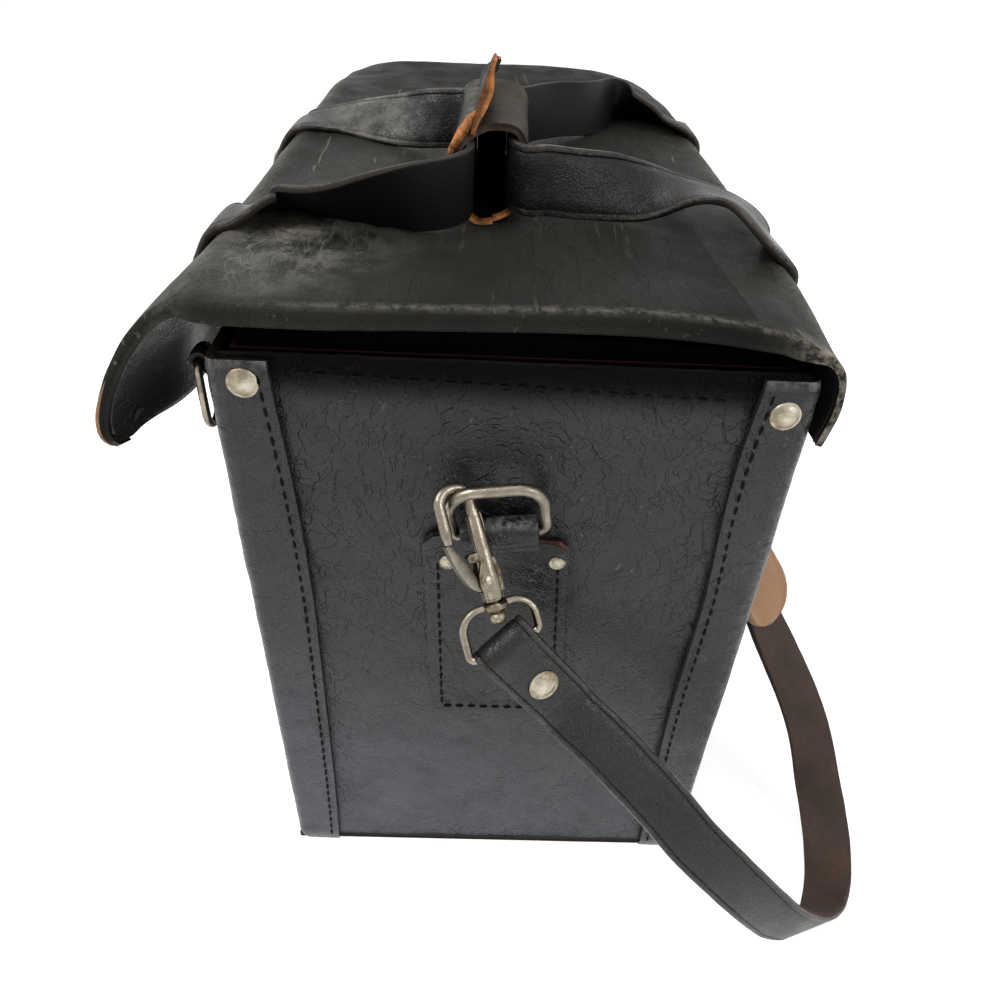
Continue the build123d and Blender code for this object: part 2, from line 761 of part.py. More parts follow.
# Swivel eye: a collar on the hook's stud and a wire frame that carries the strap.
# It is turned so that its straight foot lies across the strap.
strap_across_start = Vector(-0.50, 0.69, 0.53)
eye_side = strap_across_start - hook_up * strap_across_start.dot(hook_up)
eye_side = eye_side.normalized()
eye_plane = Plane(origin=hook_foot, x_dir=eye_side, z_dir=eye_side.cross(hook_up))
eye_top = -COLLAR_GAP - COLLAR_HEIGHT / 2
eye_foot = eye_top - EYE_DROP
with BuildPart() as swivel_eye:
    with BuildLine(eye_plane) as eye_path:
        FilletPolyline(
            (0, eye_foot),
            (EYE_WIDTH / 2, eye_foot),
            (EYE_WIDTH / 2, eye_top),
            (-EYE_WIDTH / 2, eye_top),
            (-EYE_WIDTH / 2, eye_foot),
            (0, eye_foot),
            radius=[0, EYE_FOOT_ROUND, EYE_HEAD_ROUND, EYE_HEAD_ROUND, EYE_FOOT_ROUND],
        )
    with BuildSketch(
        Plane(origin=eye_plane.from_local_coords((0, eye_foot, 0)), x_dir=hook_up, z_dir=eye_side)
    ):
        Circle(EYE_WIRE)
    sweep(path=eye_path.wire())
    with BuildSketch(
        Plane(origin=hook_foot - hook_up * COLLAR_GAP, x_dir=eye_side, z_dir=-hook_up)
    ):
        Circle(COLLAR_RADIUS)
    extrude(amount=COLLAR_HEIGHT)
    with BuildSketch(Plane(origin=hook_foot, x_dir=eye_side, z_dir=-hook_up)):
        Circle(STUD_RADIUS + STUD_CLEARANCE)
    extrude(amount=COLLAR_HEIGHT + 2 * COLLAR_GAP, mode=Mode.SUBTRACT)
save_pair(swivel_eye, "swivel_eye")

def out_from(end, back, height):
    """A place given from the right end, the back wall and the floor."""
    return Vector(half_length + end, half_width + back, height)


# Shoulder strap. Each station is the middle of the strap and the direction across it,
# from the right hook down to the floor, round a loop and up behind the back wall.
strap_stations = [
    (out_from(25, 24 - half_width, RING_HEIGHT - 58.5), Vector(-0.50, 0.69, 0.53)),
    (out_from(36, 47 - half_width, RING_HEIGHT - 77.5), Vector(-0.50, 0.69, 0.52)),
    (out_from(46, -12.5, 76), Vector(-0.46, 0.69, 0.56)),
    (out_from(50, 9.5, 52), Vector(-0.36, 0.70, 0.62)),
    (out_from(49, 25.5, 33), Vector(-0.20, 0.72, 0.66)),
    (out_from(42, 41.5, 17), Vector(-0.05, 0.75, 0.66)),
    (out_from(30, 53.5, 8.6), Vector(0.06, 0.80, 0.60)),
    (out_from(13, 61.5, 6.6), Vector(0.10, 0.84, 0.53)),
    (out_from(-4, 64.5, 11), Vector(0.03, 0.90, 0.43)),
    (out_from(-18, 62.5, 22), Vector(-0.08, 0.94, 0.33)),
    (out_from(-30, 57.5, 40), Vector(-0.27, 0.93, 0.24)),
    (out_from(-40, 47.5, 61), Vector(-0.45, 0.88, 0.16)),
    (out_from(-47, 34.5, 83), Vector(-0.60, 0.79, 0.10)),
    (out_from(-55, 23.5, 103), Vector(-0.60, 0.75, -0.25)),
    (out_from(-72, 15.5, 120), Vector(-0.45, 0.60, -0.65)),
    (out_from(-100, 10.5, 130), Vector(-0.20, 0.50, -0.85)),
    (out_from(-132, 8.5, 134), Vector(-0.05, 0.42, -0.90)),
    (Vector(0, half_width + 8, 135), Vector(0, 0.40, -0.92)),
]
PAD_FIRST = 12  # the pad covers the stations from here to the middle
PAD_END_SHARES = (0.35, 0.85)  # width of the pad at its first two stations


def flipped(vector):
    """The mirror image of a vector across the middle of the case."""
    return Vector(-vector.X, vector.Y, vector.Z)


whole_run = strap_stations + [
    (flipped(middle), flipped(across)) for middle, across in reversed(strap_stations[:-1])
]
run_middles = [middle for middle, across in whole_run]


def station_plane(index, lift):
    """The strap's cross-section plane at a station: x across, y out of the grain side."""
    middle, across = whole_run[index]
    before = run_middles[max(index - 1, 0)]
    after = run_middles[min(index + 1, len(run_middles) - 1)]
    along = (after - before).normalized()
    side = (across - along * across.dot(along)).normalized()
    plane = Plane(origin=middle, x_dir=side, z_dir=along)
    return Plane(origin=middle + plane.y_dir * lift, x_dir=side, z_dir=along)


with BuildPart() as shoulder_strap:
    for station in range(len(whole_run)):
        with BuildSketch(station_plane(station, 0)):
            Rectangle(STRAP_WIDTH, STRAP_THICKNESS)
    loft(ruled=True)
save(shoulder_strap, "shoulder_strap")

# Shoulder pad on the flesh side of the strap
pad_last = len(whole_run) - 1 - PAD_FIRST
pad_lift = -(STRAP_THICKNESS + PAD_THICKNESS) / 2 - PAD_GAP
with BuildPart() as shoulder_pad:
    for station in range(PAD_FIRST, pad_last + 1):
        from_end = min(station - PAD_FIRST, pad_last - station)
        share = PAD_END_SHARES[from_end] if from_end < len(PAD_END_SHARES) else 1
        with BuildSketch(station_plane(station, pad_lift)):
            Rectangle(PAD_WIDTH * share, PAD_THICKNESS)
    loft(ruled=True)
save(shoulder_pad, "shoulder_pad")

# Turned end of the strap: folded round the foot of the eye and riveted to itself
eye_bar = eye_plane.from_local_coords((0, eye_foot, 0))
loop_bore = EYE_WIRE + STRAP_SEAM / 3
loop_round = loop_bore + STRAP_THICKNESS
first_middle, first_across = strap_stations[0]
first_along = (strap_stations[1][0] - first_middle).normalized()
first_side = (first_across - first_along * first_across.dot(first_along)).normalized()
end_middle = first_middle - first_along * STRAP_SEAM
loop_along = end_middle - eye_bar
loop_along = (loop_along - eye_side * loop_along.dot(eye_side)).normalized()
double = 2 * STRAP_THICKNESS
plies_lift = (Plane(origin=end_middle, x_dir=first_side, z_dir=first_along).y_dir) * (
    -STRAP_THICKNESS / 2
)
loop_end = eye_bar + loop_along * (loop_round + 2)
with BuildPart() as strap_end:
    with BuildSketch(Plane(origin=eye_bar, x_dir=eye_side, z_dir=loop_along)):
        Rectangle(STRAP_WIDTH, 2 * loop_round)
    with BuildSketch(Plane(origin=loop_end, x_dir=eye_side, z_dir=loop_along)):
        Rectangle(STRAP_WIDTH, double)
    with BuildSketch(Plane(origin=end_middle + plies_lift, x_dir=first_side, z_dir=first_along)):
        Rectangle(STRAP_WIDTH, double)
    loft(ruled=True)
    with BuildSketch(
        Plane(origin=eye_bar - eye_side * (STRAP_WIDTH / 2), x_dir=loop_along, z_dir=eye_side)
    ):
        Circle(loop_round)
    extrude(amount=STRAP_WIDTH)
    with BuildSketch(
        Plane(origin=eye_bar - eye_side * STRAP_WIDTH, x_dir=loop_along, z_dir=eye_side)
    ):
        Circle(loop_bore)
    extrude(amount=2 * STRAP_WIDTH, mode=Mode.SUBTRACT)
save_pair(strap_end, "strap_end")

# Closure rings, hung on riveted leather chapes on the front wall
wall_face = -half_width
closure_bar = wall_face - CLOSURE_OUT
closure_bore = CLOSURE_WIRE + RING_CLEARANCE
chape_round = closure_bore + CHAPE_THICKNESS
chape_rivet_z = closure_z - CHAPE_DROP + SMALL_CAP + 1.4
with BuildPart() as chape:
    with BuildSketch(Plane.YZ.offset(closure_x - CHAPE_WIDTH / 2)):
        with Locations((closure_bar, closure_z)):
            Circle(chape_round)
        with BuildLine():
            Polyline(
                (wall_face, closure_z - CHAPE_DROP),
                (wall_face - CHAPE_THICKNESS, closure_z - CHAPE_DROP),
                (wall_face - CHAPE_THICKNESS, closure_z - chape_round - CHAPE_THICKNESS),
                (closure_bar - chape_round, closure_z),
                (closure_bar, closure_z + chape_round),
                (wall_face, closure_z),
                close=True,
            )
        make_face()
        with Locations((closure_bar, closure_z)):
            Circle(closure_bore, mode=Mode.SUBTRACT)
    extrude(amount=CHAPE_WIDTH)
save_pair(chape, "closure_chape")

with BuildPart() as chape_rivets:
    for rivet_x in (closure_x, -closure_x):
        seat = Plane(
            origin=(rivet_x, wall_face - CHAPE_THICKNESS, chape_rivet_z),
            x_dir=(1, 0, 0),
            z_dir=(0, -1, 0),
        )
        add(cap_on(seat, SMALL_CAP, SMALL_CAP_HEIGHT))
save(chape_rivets, "chape_rivets")

closure_plane = Plane(
    origin=(closure_x, closure_bar, closure_z), x_dir=(1, 0, 0), z_dir=(0, -1, 0)
)
with BuildPart() as closure_ring:
    with BuildLine(closure_plane) as closure_path:
        FilletPolyline(
            (0, 0),
            (CLOSURE_WIDTH / 2, 0),
            (CLOSURE_WIDTH / 2, -CLOSURE_DROP),
            (-CLOSURE_WIDTH / 2, -CLOSURE_DROP),
            (-CLOSURE_WIDTH / 2, 0),
            (0, 0),
            radius=[0, CLOSURE_HEAD_ROUND, CLOSURE_FOOT_ROUND, CLOSURE_FOOT_ROUND, CLOSURE_HEAD_ROUND],
        )
    with BuildSketch(Plane(origin=closure_plane.origin, x_dir=(0, 1, 0), z_dir=(1, 0, 0))):
        Circle(CLOSURE_WIRE)
    sweep(path=closure_path.wire())
save_pair(closure_ring, "closure_ring")

# Rivet through the two plies of each strap end, seated on the grain side
grain_at_loop = loop_end + loop_along.cross(eye_side) * STRAP_THICKNESS
grain_at_seam = end_middle + plies_lift + first_along.cross(first_side) * STRAP_THICKNESS
rivet_along = (grain_at_seam - grain_at_loop).normalized()
rivet_out = rivet_along.cross(eye_side + first_side).normalized()
with BuildPart() as strap_rivet:
    seat = Plane(
        origin=(grain_at_loop + grain_at_seam) * 0.5 + rivet_out * STRAP_SEAM / 2,
        x_dir=rivet_along,
        z_dir=rivet_out,
    )
    add(cap_on(seat, STRAP_CAP, STRAP_CAP_HEIGHT))
save_pair(strap_rivet, "strap_rivet")

print("strap length", sum((b - a).length for a, b in zip(run_middles, run_middles[1:])))
print("flap hinge", flap_hinge, "wrap flap root", wrap_flap_root)
print("bar", bar_centre, bar_dir, "grip", hook_grip, "foot", hook_foot, "up", hook_up, "side", hook_side)
print("ring plane z", ring_plane.z_dir, "gate pin", hook_plane.from_local_coords((PIN_X, PIN_Y, 0)))
print("eye side", eye_side, "eye bar", eye_bar)
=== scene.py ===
"""A worn leather train case seen from above one end: leather covers, straps, rings and hooks.

Lengths in the tables are millimetres; meshes are written in metres."""

import math

import bpy
import numpy as np
from mathutils import Matrix, Vector, noise


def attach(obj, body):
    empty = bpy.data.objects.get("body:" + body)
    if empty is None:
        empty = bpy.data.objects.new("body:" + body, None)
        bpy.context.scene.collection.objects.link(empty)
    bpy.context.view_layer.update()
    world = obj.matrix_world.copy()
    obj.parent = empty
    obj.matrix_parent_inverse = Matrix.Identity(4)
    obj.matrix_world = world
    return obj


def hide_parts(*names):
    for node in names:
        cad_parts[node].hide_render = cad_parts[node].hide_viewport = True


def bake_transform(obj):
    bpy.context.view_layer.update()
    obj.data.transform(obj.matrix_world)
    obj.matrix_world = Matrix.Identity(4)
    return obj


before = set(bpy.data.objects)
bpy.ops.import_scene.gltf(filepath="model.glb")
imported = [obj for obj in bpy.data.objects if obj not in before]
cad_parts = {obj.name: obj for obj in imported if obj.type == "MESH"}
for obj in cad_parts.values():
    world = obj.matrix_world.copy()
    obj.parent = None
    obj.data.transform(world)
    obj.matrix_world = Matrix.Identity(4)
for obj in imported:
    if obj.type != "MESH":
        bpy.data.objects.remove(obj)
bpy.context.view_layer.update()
MM = 0.001
SHARP_ANGLE = math.radians(38)


# ---------------------------------------------------------------- small helpers
def vec(*numbers):
    return np.array(numbers, float)


X, Y, Z = np.eye(3)
ASKEW = vec(0.31, 0.22, 0.93)  # square to none of the axes that forms are turned round


def unit(v):
    v = np.asarray(v, float)
    return v / np.maximum(np.linalg.norm(v, axis=-1, keepdims=True), 1e-9)


def square_to(v, axis):
    """The part of v that is square to an axis, as a direction."""
    return unit(v - axis * (v @ axis))


def ease(low, high, value):
    t = np.clip((np.asarray(value, float) - low) / (high - low), 0, 1)
    return t * t * (3 - 2 * t)


def bell(value, middle, width):
    return np.exp(-(((value - middle) / width) ** 2))


def rumple(place, scale, seed=0.0, octaves=3):
    """Smooth uneven value from about -1 to 1 at a place in millimetres."""
    total, gain = 0.0, 1.0
    for octave in range(octaves):
        k = 2.0**octave / scale
        total += gain * noise.noise(Vector((place[0] * k + seed, place[1] * k - seed, place[2] * k)))
        gain *= 0.5
    return total


def lengths(rows):
    """Distance along a line at each of its points."""
    return np.concatenate([[0], np.cumsum(np.linalg.norm(np.diff(rows, axis=0), axis=1))])


def places_at(s, t, rows):
    """Places at distances s along a line whose points lie at distances t."""
    return np.stack([np.interp(s, t, column) for column in np.transpose(rows)], axis=1)


def spline(points, count=None, at=None):
    """Rows spread along the natural cubic curve through rows; the first three columns are places."""
    p = np.array(points, float)
    t = lengths(p[:, :3])
    n, h = len(p), np.diff(t)
    a, r = np.zeros((n, n)), np.zeros(p.shape)
    a[0, 0] = a[-1, -1] = 1
    for i in range(1, n - 1):
        a[i, i - 1 : i + 2] = h[i - 1], 2 * (h[i - 1] + h[i]), h[i]
        r[i] = 6 * ((p[i + 1] - p[i]) / h[i] - (p[i] - p[i - 1]) / h[i - 1])
    m = np.linalg.solve(a, r)
    s = np.linspace(0, t[-1], count) if at is None else np.asarray(at, float)
    k = np.clip(np.searchsorted(t, s, side="right") - 1, 0, n - 2)
    g, u, v = h[k][:, None], (t[k + 1] - s)[:, None], (s - t[k])[:, None]
    rows = m[k] * u**3 / (6 * g) + m[k + 1] * v**3 / (6 * g)
    return rows + (p[k] / g - m[k] * g / 6) * u + (p[k + 1] / g - m[k + 1] * g / 6) * v


def smooth_path(path, count):
    """(y, z) rows spread along the smooth curve through a path."""
    return spline(np.insert(np.array(path, float), 2, 0.0, axis=1), count)[:, :2]


def curve_1d(knots, x):
    """Smooth value at x through (x, value) knots."""
    knots = np.array(knots, float)
    x = np.clip(np.atleast_1d(x), knots[0, 0], knots[-1, 0])
    return spline(knots[:, [0, 0, 0, 1]] * (1, 0, 0, 1), at=x - knots[0, 0])[:, 3]


# ---------------------------------------------------------------- materials
class Tree:
    """The node tree of a material or world, with short calls."""

    def __init__(self, owner):
        owner.use_nodes = True
        self.owner, self.tree = owner, owner.node_tree
        self.tree.nodes.clear()

    def node(self, kind, inputs=None, **settings):
        made = self.tree.nodes.new(kind)
        for key, value in settings.items():
            setattr(made, key, value)
        for key, value in (inputs or {}).items():
            if isinstance(value, bpy.types.NodeSocket):
                self.tree.links.new(value, made.inputs[key])
            else:
                made.inputs[key].default_value = value
        return made

    def math(self, operation, a, b=0.0, clamp=False):
        return self.node("ShaderNodeMath", {0: a, 1: b}, operation=operation, use_clamp=clamp).outputs[0]

    def seen_directly(self):
        """1 for camera, glossy and transmission rays."""
        path = self.node("ShaderNodeLightPath")
        total = path.outputs["Is Camera Ray"]
        for name in ("Is Glossy Ray", "Is Transmission Ray"):
            total = self.math("ADD", total, path.outputs[name], clamp=True)
        return total


class Look(Tree):
    """A principled material whose patterns follow the mesh's own coordinates."""

    def __init__(self, name):
        super().__init__(bpy.data.materials.new(name))
        self.place = self.node("ShaderNodeTexCoord").outputs["Object"]

    def finish(self, colour, rough, normal, **others):
        inputs = {"Base Color": colour, "Roughness": rough, "Normal": normal, **others}
        surface = self.node("ShaderNodeBsdfPrincipled", inputs)
        self.node("ShaderNodeOutputMaterial", {"Surface": surface.outputs[0]})
        return self.owner

    def times(self, a, b, clamp=False):
        return self.math("MULTIPLY", a, b, clamp)

    def plus(self, a, b, clamp=False):
        return self.math("ADD", a, b, clamp)

    def most(self, a, b):
        return self.math("MAXIMUM", a, b)

    def noise(self, scale, detail=4.0, at=None, rough=0.55):
        inputs = {"Vector": at or self.place, "Scale": scale, "Detail": detail, "Roughness": rough}
        return self.node("ShaderNodeTexNoise", inputs).outputs["Fac"]

    def warped(self, scale, amount):
        """The place, moved about by noise."""
        made = self.node("ShaderNodeTexNoise", {"Vector": self.place, "Scale": scale, "Detail": 3.0})
        shift = self.node("ShaderNodeVectorMath", {0: made.outputs["Color"], 1: (-0.5, -0.5, -0.5)})
        size = self.node("ShaderNodeVectorMath", {0: shift.outputs[0], "Scale": amount}, operation="SCALE")
        return self.node("ShaderNodeVectorMath", {0: self.place, 1: size.outputs[0]}).outputs[0]

    def ramp(self, fac, low, high, a=0.0, b=1.0):
        inputs = {"Value": fac, "From Min": low, "From Max": high, "To Min": a, "To Max": b}
        return self.node("ShaderNodeMapRange", inputs, interpolation_type="SMOOTHSTEP").outputs[0]

    def mix(self, fac, a, b):
        a, b = (c if isinstance(c, bpy.types.NodeSocket) else (*c, 1.0) for c in (a, b))
        return self.node("ShaderNodeMix", {0: fac, 6: a, 7: b}, data_type="RGBA").outputs[2]

    def mark(self, name):
        """A painted value of the mesh, such as its wear."""
        return self.node("ShaderNodeAttribute", attribute_name=name).outputs["Fac"]

    def stretched(self, warp, turn, stretch):
        """The warped place, turned and then squeezed so that patterns run long in one direction."""
        inputs = {"Vector": self.warped(*warp), "Rotation": turn, "Scale": stretch}
        return self.node("ShaderNodeMapping", inputs).outputs[0]

    def streaks(self, turn, stretch, low, high):
        """Fine scratches in one direction."""
        return self.ramp(self.noise(1.0, 2.0, self.stretched((9, 0.02), turn, stretch), 0.4), low, high)

    def wrinkles(self, scale, turn, stretch, width):
        """Long wandering crease lines, where a stretched noise crosses its middle."""
        wave = self.noise(scale, 1.6, self.stretched((35, 0.007), turn, stretch), 0.5)
        return self.ramp(self.math("ABSOLUTE", self.math("SUBTRACT", wave, 0.5)), 0.0, width, 1.0, 0.0)

    def bump(self, height, strength, distance):
        inputs = {"Height": height, "Strength": strength, "Distance": distance}
        return self.node("ShaderNodeBump", inputs).outputs[0]


def scaled(colour, k):
    return tuple(min(1.0, c * k) for c in colour)


CREASE_LAYERS = (  # turn, stretch, width and strength
    ((0, 0.5, 1.3), (15, 78, 78), 0.0075, 1.0),
    ((0, -0.9, 1.1), (17, 92, 92), 0.0080, 1.0),
    ((0.4, 1.2, 0.5), (24, 130, 130), 0.0090, 0.65),
    ((0, 0.15, -1.35), (30, 160, 160), 0.0095, 0.65),
)
PEBBLE_SIZE = 1.15
PITCH_BLACK = (0.001, 0.001, 0.001)


def leather(name, base, other, worn, rough, cell, crease, pebble, scratch, depth, specular=0.5,
            sheen_colour=(0.105, 0.100, 0.088), cloud=(0.40, 0.64), sheen=0.0):
    """Creased, pebbled leather; base and other are its colours, worn shows where it is rubbed and also gives a painted
    highlight on the creases.
    """
    t = Look(name)
    # painted light from the mesh: above zero it paints a sheen, below zero it paints shade
    painted_light, shade = (t.ramp(t.mark("painted_light"), 0.0, end) for end in (1.0, -1.0))
    lines = 0.0
    for turn, stretch, width, strength in CREASE_LAYERS:
        lines = t.most(t.times(t.wrinkles(3.6 / cell, turn, stretch, width), strength), lines)
    cells = {"Vector": t.warped(400, 0.0012), "Scale": 1 / (PEBBLE_SIZE * MM)}
    grain = t.node("ShaderNodeTexVoronoi", cells, feature="DISTANCE_TO_EDGE")
    pebbles = t.ramp(grain.outputs["Distance"], 0.0, 0.28)
    patches = t.noise(22, 5.0)
    # creases are deeper where the mesh is marked and in uneven patches elsewhere
    soft = t.times(lines, t.plus(t.ramp(patches, 0.40, 0.62, 0.25, 1.0), t.mark("crease"), clamp=True))
    height = t.plus(t.times(soft, -crease), t.times(pebbles, pebble))
    height = t.plus(height, t.times(t.noise(2300, 2.0), 0.18))
    colour = t.mix(t.ramp(patches, 0.34, 0.68), base, other)
    # painted shade in the creases: the colour darkens along the crease lines
    colour = t.mix(t.times(soft, 0.55), colour, scaled(base, 0.45))
    thin = t.most(
        t.streaks((0.0, 0.3, 0.5), (12, 420, 300), 0.70, 0.74),
        t.streaks((0.4, 0.0, -0.9), (14, 380, 330), 0.71, 0.75),
    )
    specks = t.ramp(t.noise(520, 2.0), 0.71, 0.76)
    marks = t.times(t.most(thin, specks), t.ramp(t.noise(14, 3.0), 0.44, 0.62))
    colour = t.mix(t.times(marks, scratch), colour, worn)
    # painted sheen: mottled patches turned towards the sheen colour
    colour = t.mix(t.times(painted_light, t.ramp(t.noise(70, 6.0, rough=0.75), *cloud)), colour, sheen_colour)
    # painted highlight along the creases where a sheen is painted
    if sheen:
        colour = t.mix(t.times(t.times(lines, painted_light), 0.26), colour, worn)
    # painted shade: darkened towards black
    colour = t.mix(t.times(shade, 0.85), colour, PITCH_BLACK)
    rubbed = t.times(t.mark("wear"), t.ramp(t.noise(330, 5.0, rough=0.7), 0.36, 0.60), clamp=True)
    # painted shade also takes gloss away, and a painted sheen adds gloss
    level = t.times(t.math("SUBTRACT", 1.0, t.times(shade, 0.9)), specular)
    return t.finish(
        t.mix(rubbed, colour, worn),
        t.ramp(t.noise(60, 4.0), 0.3, 0.7, rough - 0.07, rough + 0.1),
        t.bump(height, depth, 0.0005),
        **{"Specular IOR Level": t.plus(level, t.times(painted_light, sheen))},
    )


def fibrous(name, base, other, rough=0.8, scale=700, depth=0.5, specular=0.25, broad=45):
    """Raw cut edges, flesh sides, cloth and card."""
    t = Look(name)
    fine = t.noise(scale, 5.0, rough=0.65)
    colour = t.mix(t.ramp(t.noise(broad, 4.0), 0.35, 0.65), base, other)
    colour = t.mix(t.ramp(fine, 0.45, 0.75, 0.0, 0.6), colour, scaled(base, 0.5))
    return t.finish(colour, rough, t.bump(fine, depth, 0.0004), **{"Specular IOR Level": specular})


def metal(name, base, dull, bright, rough):
    t = Look(name)
    stain = t.noise(160, 6.0, rough=0.7)
    colour = t.mix(t.mark("wear"), t.mix(t.ramp(stain, 0.42, 0.60), base, dull), bright)
    uneven_rough = t.ramp(stain, 0.3, 0.7, rough - 0.08, rough + 0.16)
    return t.finish(colour, uneven_rough, t.bump(t.noise(900, 4.0), 0.25, 0.0003), Metallic=1.0)


LOOKS = {
    # the cover's sheen adds painted highlights on its creases and gloss where a sheen is painted
    "cover": leather(
        "cover leather", (0.0125, 0.0142, 0.0122), (0.0195, 0.0205, 0.0170), (0.34, 0.30, 0.25), rough=0.36,
        cell=3.0, crease=0.60, pebble=0.26, scratch=0.22, depth=0.55, specular=0.022, sheen=0.22,
    ),
    # the panel's sheen colour is a bluish painted reflection of the pale floor
    "panel": leather(
        "panel leather", (0.0060, 0.0064, 0.0076), (0.0135, 0.0115, 0.0112), (0.20, 0.19, 0.18), rough=0.30,
        cell=3.6, crease=1.05, pebble=0.16, scratch=0.22, depth=0.62, specular=0.34,
        sheen_colour=(0.046, 0.049, 0.060), cloud=(0.15, 0.60),
    ),
    "strap": leather(
        "strap leather", (0.0060, 0.0060, 0.0066), (0.0115, 0.0110, 0.0110), (0.15, 0.115, 0.085), rough=0.31,
        cell=1.8, crease=0.45, pebble=0.22, scratch=0.30, depth=0.55, specular=0.30,
    ),
    "pad": leather(
        "pad leather", (0.31, 0.165, 0.080), (0.23, 0.120, 0.060), (0.46, 0.30, 0.18), rough=0.6,
        cell=2.6, crease=0.3, pebble=0.3, scratch=0.2, depth=0.4,
    ),
    "rim": fibrous("black cut edge", (0.0085, 0.0076, 0.0070), (0.017, 0.013, 0.0105), 0.5, specular=0.14),
    "tan": fibrous("raw edge", (0.36, 0.20, 0.11), (0.26, 0.14, 0.08)),
    "flesh": fibrous("flesh side", (0.060, 0.036, 0.026), (0.034, 0.022, 0.018), 0.7),
    "darkflesh": fibrous("dark flesh side", (0.0030, 0.0032, 0.0036), (0.0055, 0.0050, 0.0048), 0.5, specular=0.16),
    # pitch black that stands for shade: painted shade on hidden boards, dust lips and the wrap's inside
    "shade": fibrous("unlit black cloth", (0.0012, 0.0010, 0.0012), (0.0020, 0.0016, 0.0016), 0.9, specular=0.02),
    "torn": fibrous("torn edge", (0.50, 0.19, 0.050), (0.13, 0.050, 0.020), 0.6, 900, 0.9, broad=230),
    "umber": fibrous("brown cut edge", (0.062, 0.038, 0.030), (0.030, 0.020, 0.017), broad=200),
    "olive": fibrous("olive flesh side", (0.030, 0.019, 0.007), (0.013, 0.010, 0.006), 0.5, specular=0.05, broad=120),
    "reddish": fibrous("reddish raw edge", (0.100, 0.045, 0.034), (0.060, 0.030, 0.024), broad=250),
    "burgundy": fibrous("burgundy cloth", (0.036, 0.006, 0.010), (0.022, 0.004, 0.007), 0.85, 1400),
    "card": fibrous("grey board", (0.16, 0.13, 0.10), (0.11, 0.09, 0.07), 0.9),
    "thread": fibrous("black thread", (0.006, 0.006, 0.006), (0.008, 0.007, 0.007), 0.6, 3000, specular=0.05),
    "nickel": metal("antique nickel", (0.215, 0.180, 0.135), (0.070, 0.052, 0.032), (0.46, 0.42, 0.35), 0.28),
    "brass": metal("pale brass", (0.40, 0.36, 0.285), (0.22, 0.18, 0.12), (0.56, 0.52, 0.43), 0.36),
    "gate": metal("dark steel", (0.060, 0.052, 0.034), (0.030, 0.025, 0.016), (0.34, 0.32, 0.27), 0.38),
}


# ---------------------------------------------------------------- forms
class Form:
    """Points, faces, looks and painted values of one piece, in millimetres."""

    def __init__(self):
        self.points, self.faces, self.looks = [], [], []
        # the third painted value is painted light: a painted sheen above zero, painted shade below zero
        self.wear, self.crease, self.painted_light = [], [], []

    def add(self, points, faces, looks, wear=0.0, crease=0.0, painted_light=0.0):
        base, count = len(self.points), len(points)
        self.points.extend(np.asarray(points, float).tolist())
        self.faces.extend([tuple(i + base for i in face) for face in faces])
        self.looks.extend([looks] * len(faces) if isinstance(looks, str) else looks)
        for kept, mark in ((self.wear, wear), (self.crease, crease), (self.painted_light, painted_light)):
            kept.extend(np.broadcast_to(mark, (count,)).tolist())
        return self

    def join(self, other):
        return self.add(other.points, other.faces, other.looks, other.wear, other.crease, other.painted_light)

    def mirrored(self):
        """The same form at the other end of the case."""
        points = np.array(self.points) * (-1, 1, 1)
        faces = [face[::-1] for face in self.faces]
        return Form().add(points, faces, self.looks, self.wear, self.crease, self.painted_light)

    def both(self):
        return Form().join(self).join(self.mirrored())

    def relook(self, old, new, test):
        """Another look for the faces of one look whose middle passes a test."""
        for i, face in enumerate(self.faces):
            if self.looks[i] == old and test(*np.mean([self.points[k] for k in face], axis=0)):
                self.looks[i] = new
        return self

    def piece(self, name, body=None, nodes=(), slot=None, bend=None, smooth=0):
        """The form as an object on a body, or left unparented when it crosses the fold of one joint."""
        mesh = bpy.data.meshes.new(name)
        mesh.from_pydata((np.array(self.points) * MM).tolist(), [], self.faces)
        names = sorted(set(self.looks))
        for look in names:
            mesh.materials.append(LOOKS[look])
        mesh.polygons.foreach_set("material_index", [names.index(look) for look in self.looks])
        mesh.polygons.foreach_set("use_smooth", [True] * len(mesh.polygons))
        for key in ("wear", "crease", "painted_light"):
            mesh.attributes.new(key, "FLOAT", "POINT").data.foreach_set("value", getattr(self, key))
        mesh.validate(clean_customdata=False)
        mesh.update()
        made = bpy.data.objects.new(name, mesh)
        bpy.context.scene.collection.objects.link(made)
        if smooth:
            finer = made.modifiers.new("finer", "SUBSURF")
            finer.levels = finer.render_levels = smooth
            ready = made.evaluated_get(bpy.context.evaluated_depsgraph_get())
            made.data = bpy.data.meshes.new_from_object(ready)
            made.modifiers.clear()
            bpy.data.meshes.remove(mesh)
        made.data.set_sharp_from_angle(angle=SHARP_ANGLE)
        if bend:
            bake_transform(made)
        else:
            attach(made, body)
        if nodes:
            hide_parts(*nodes)
        return made


def both_ends(form, stem, body, node, slot):
    """A form of the near end and its mirror image at the far end, each as its own piece."""
    for side, made in (("right", form), ("left", form.mirrored())):
        made.piece(f"{stem}_{side}", body.format(side), (node.format(side),), slot)


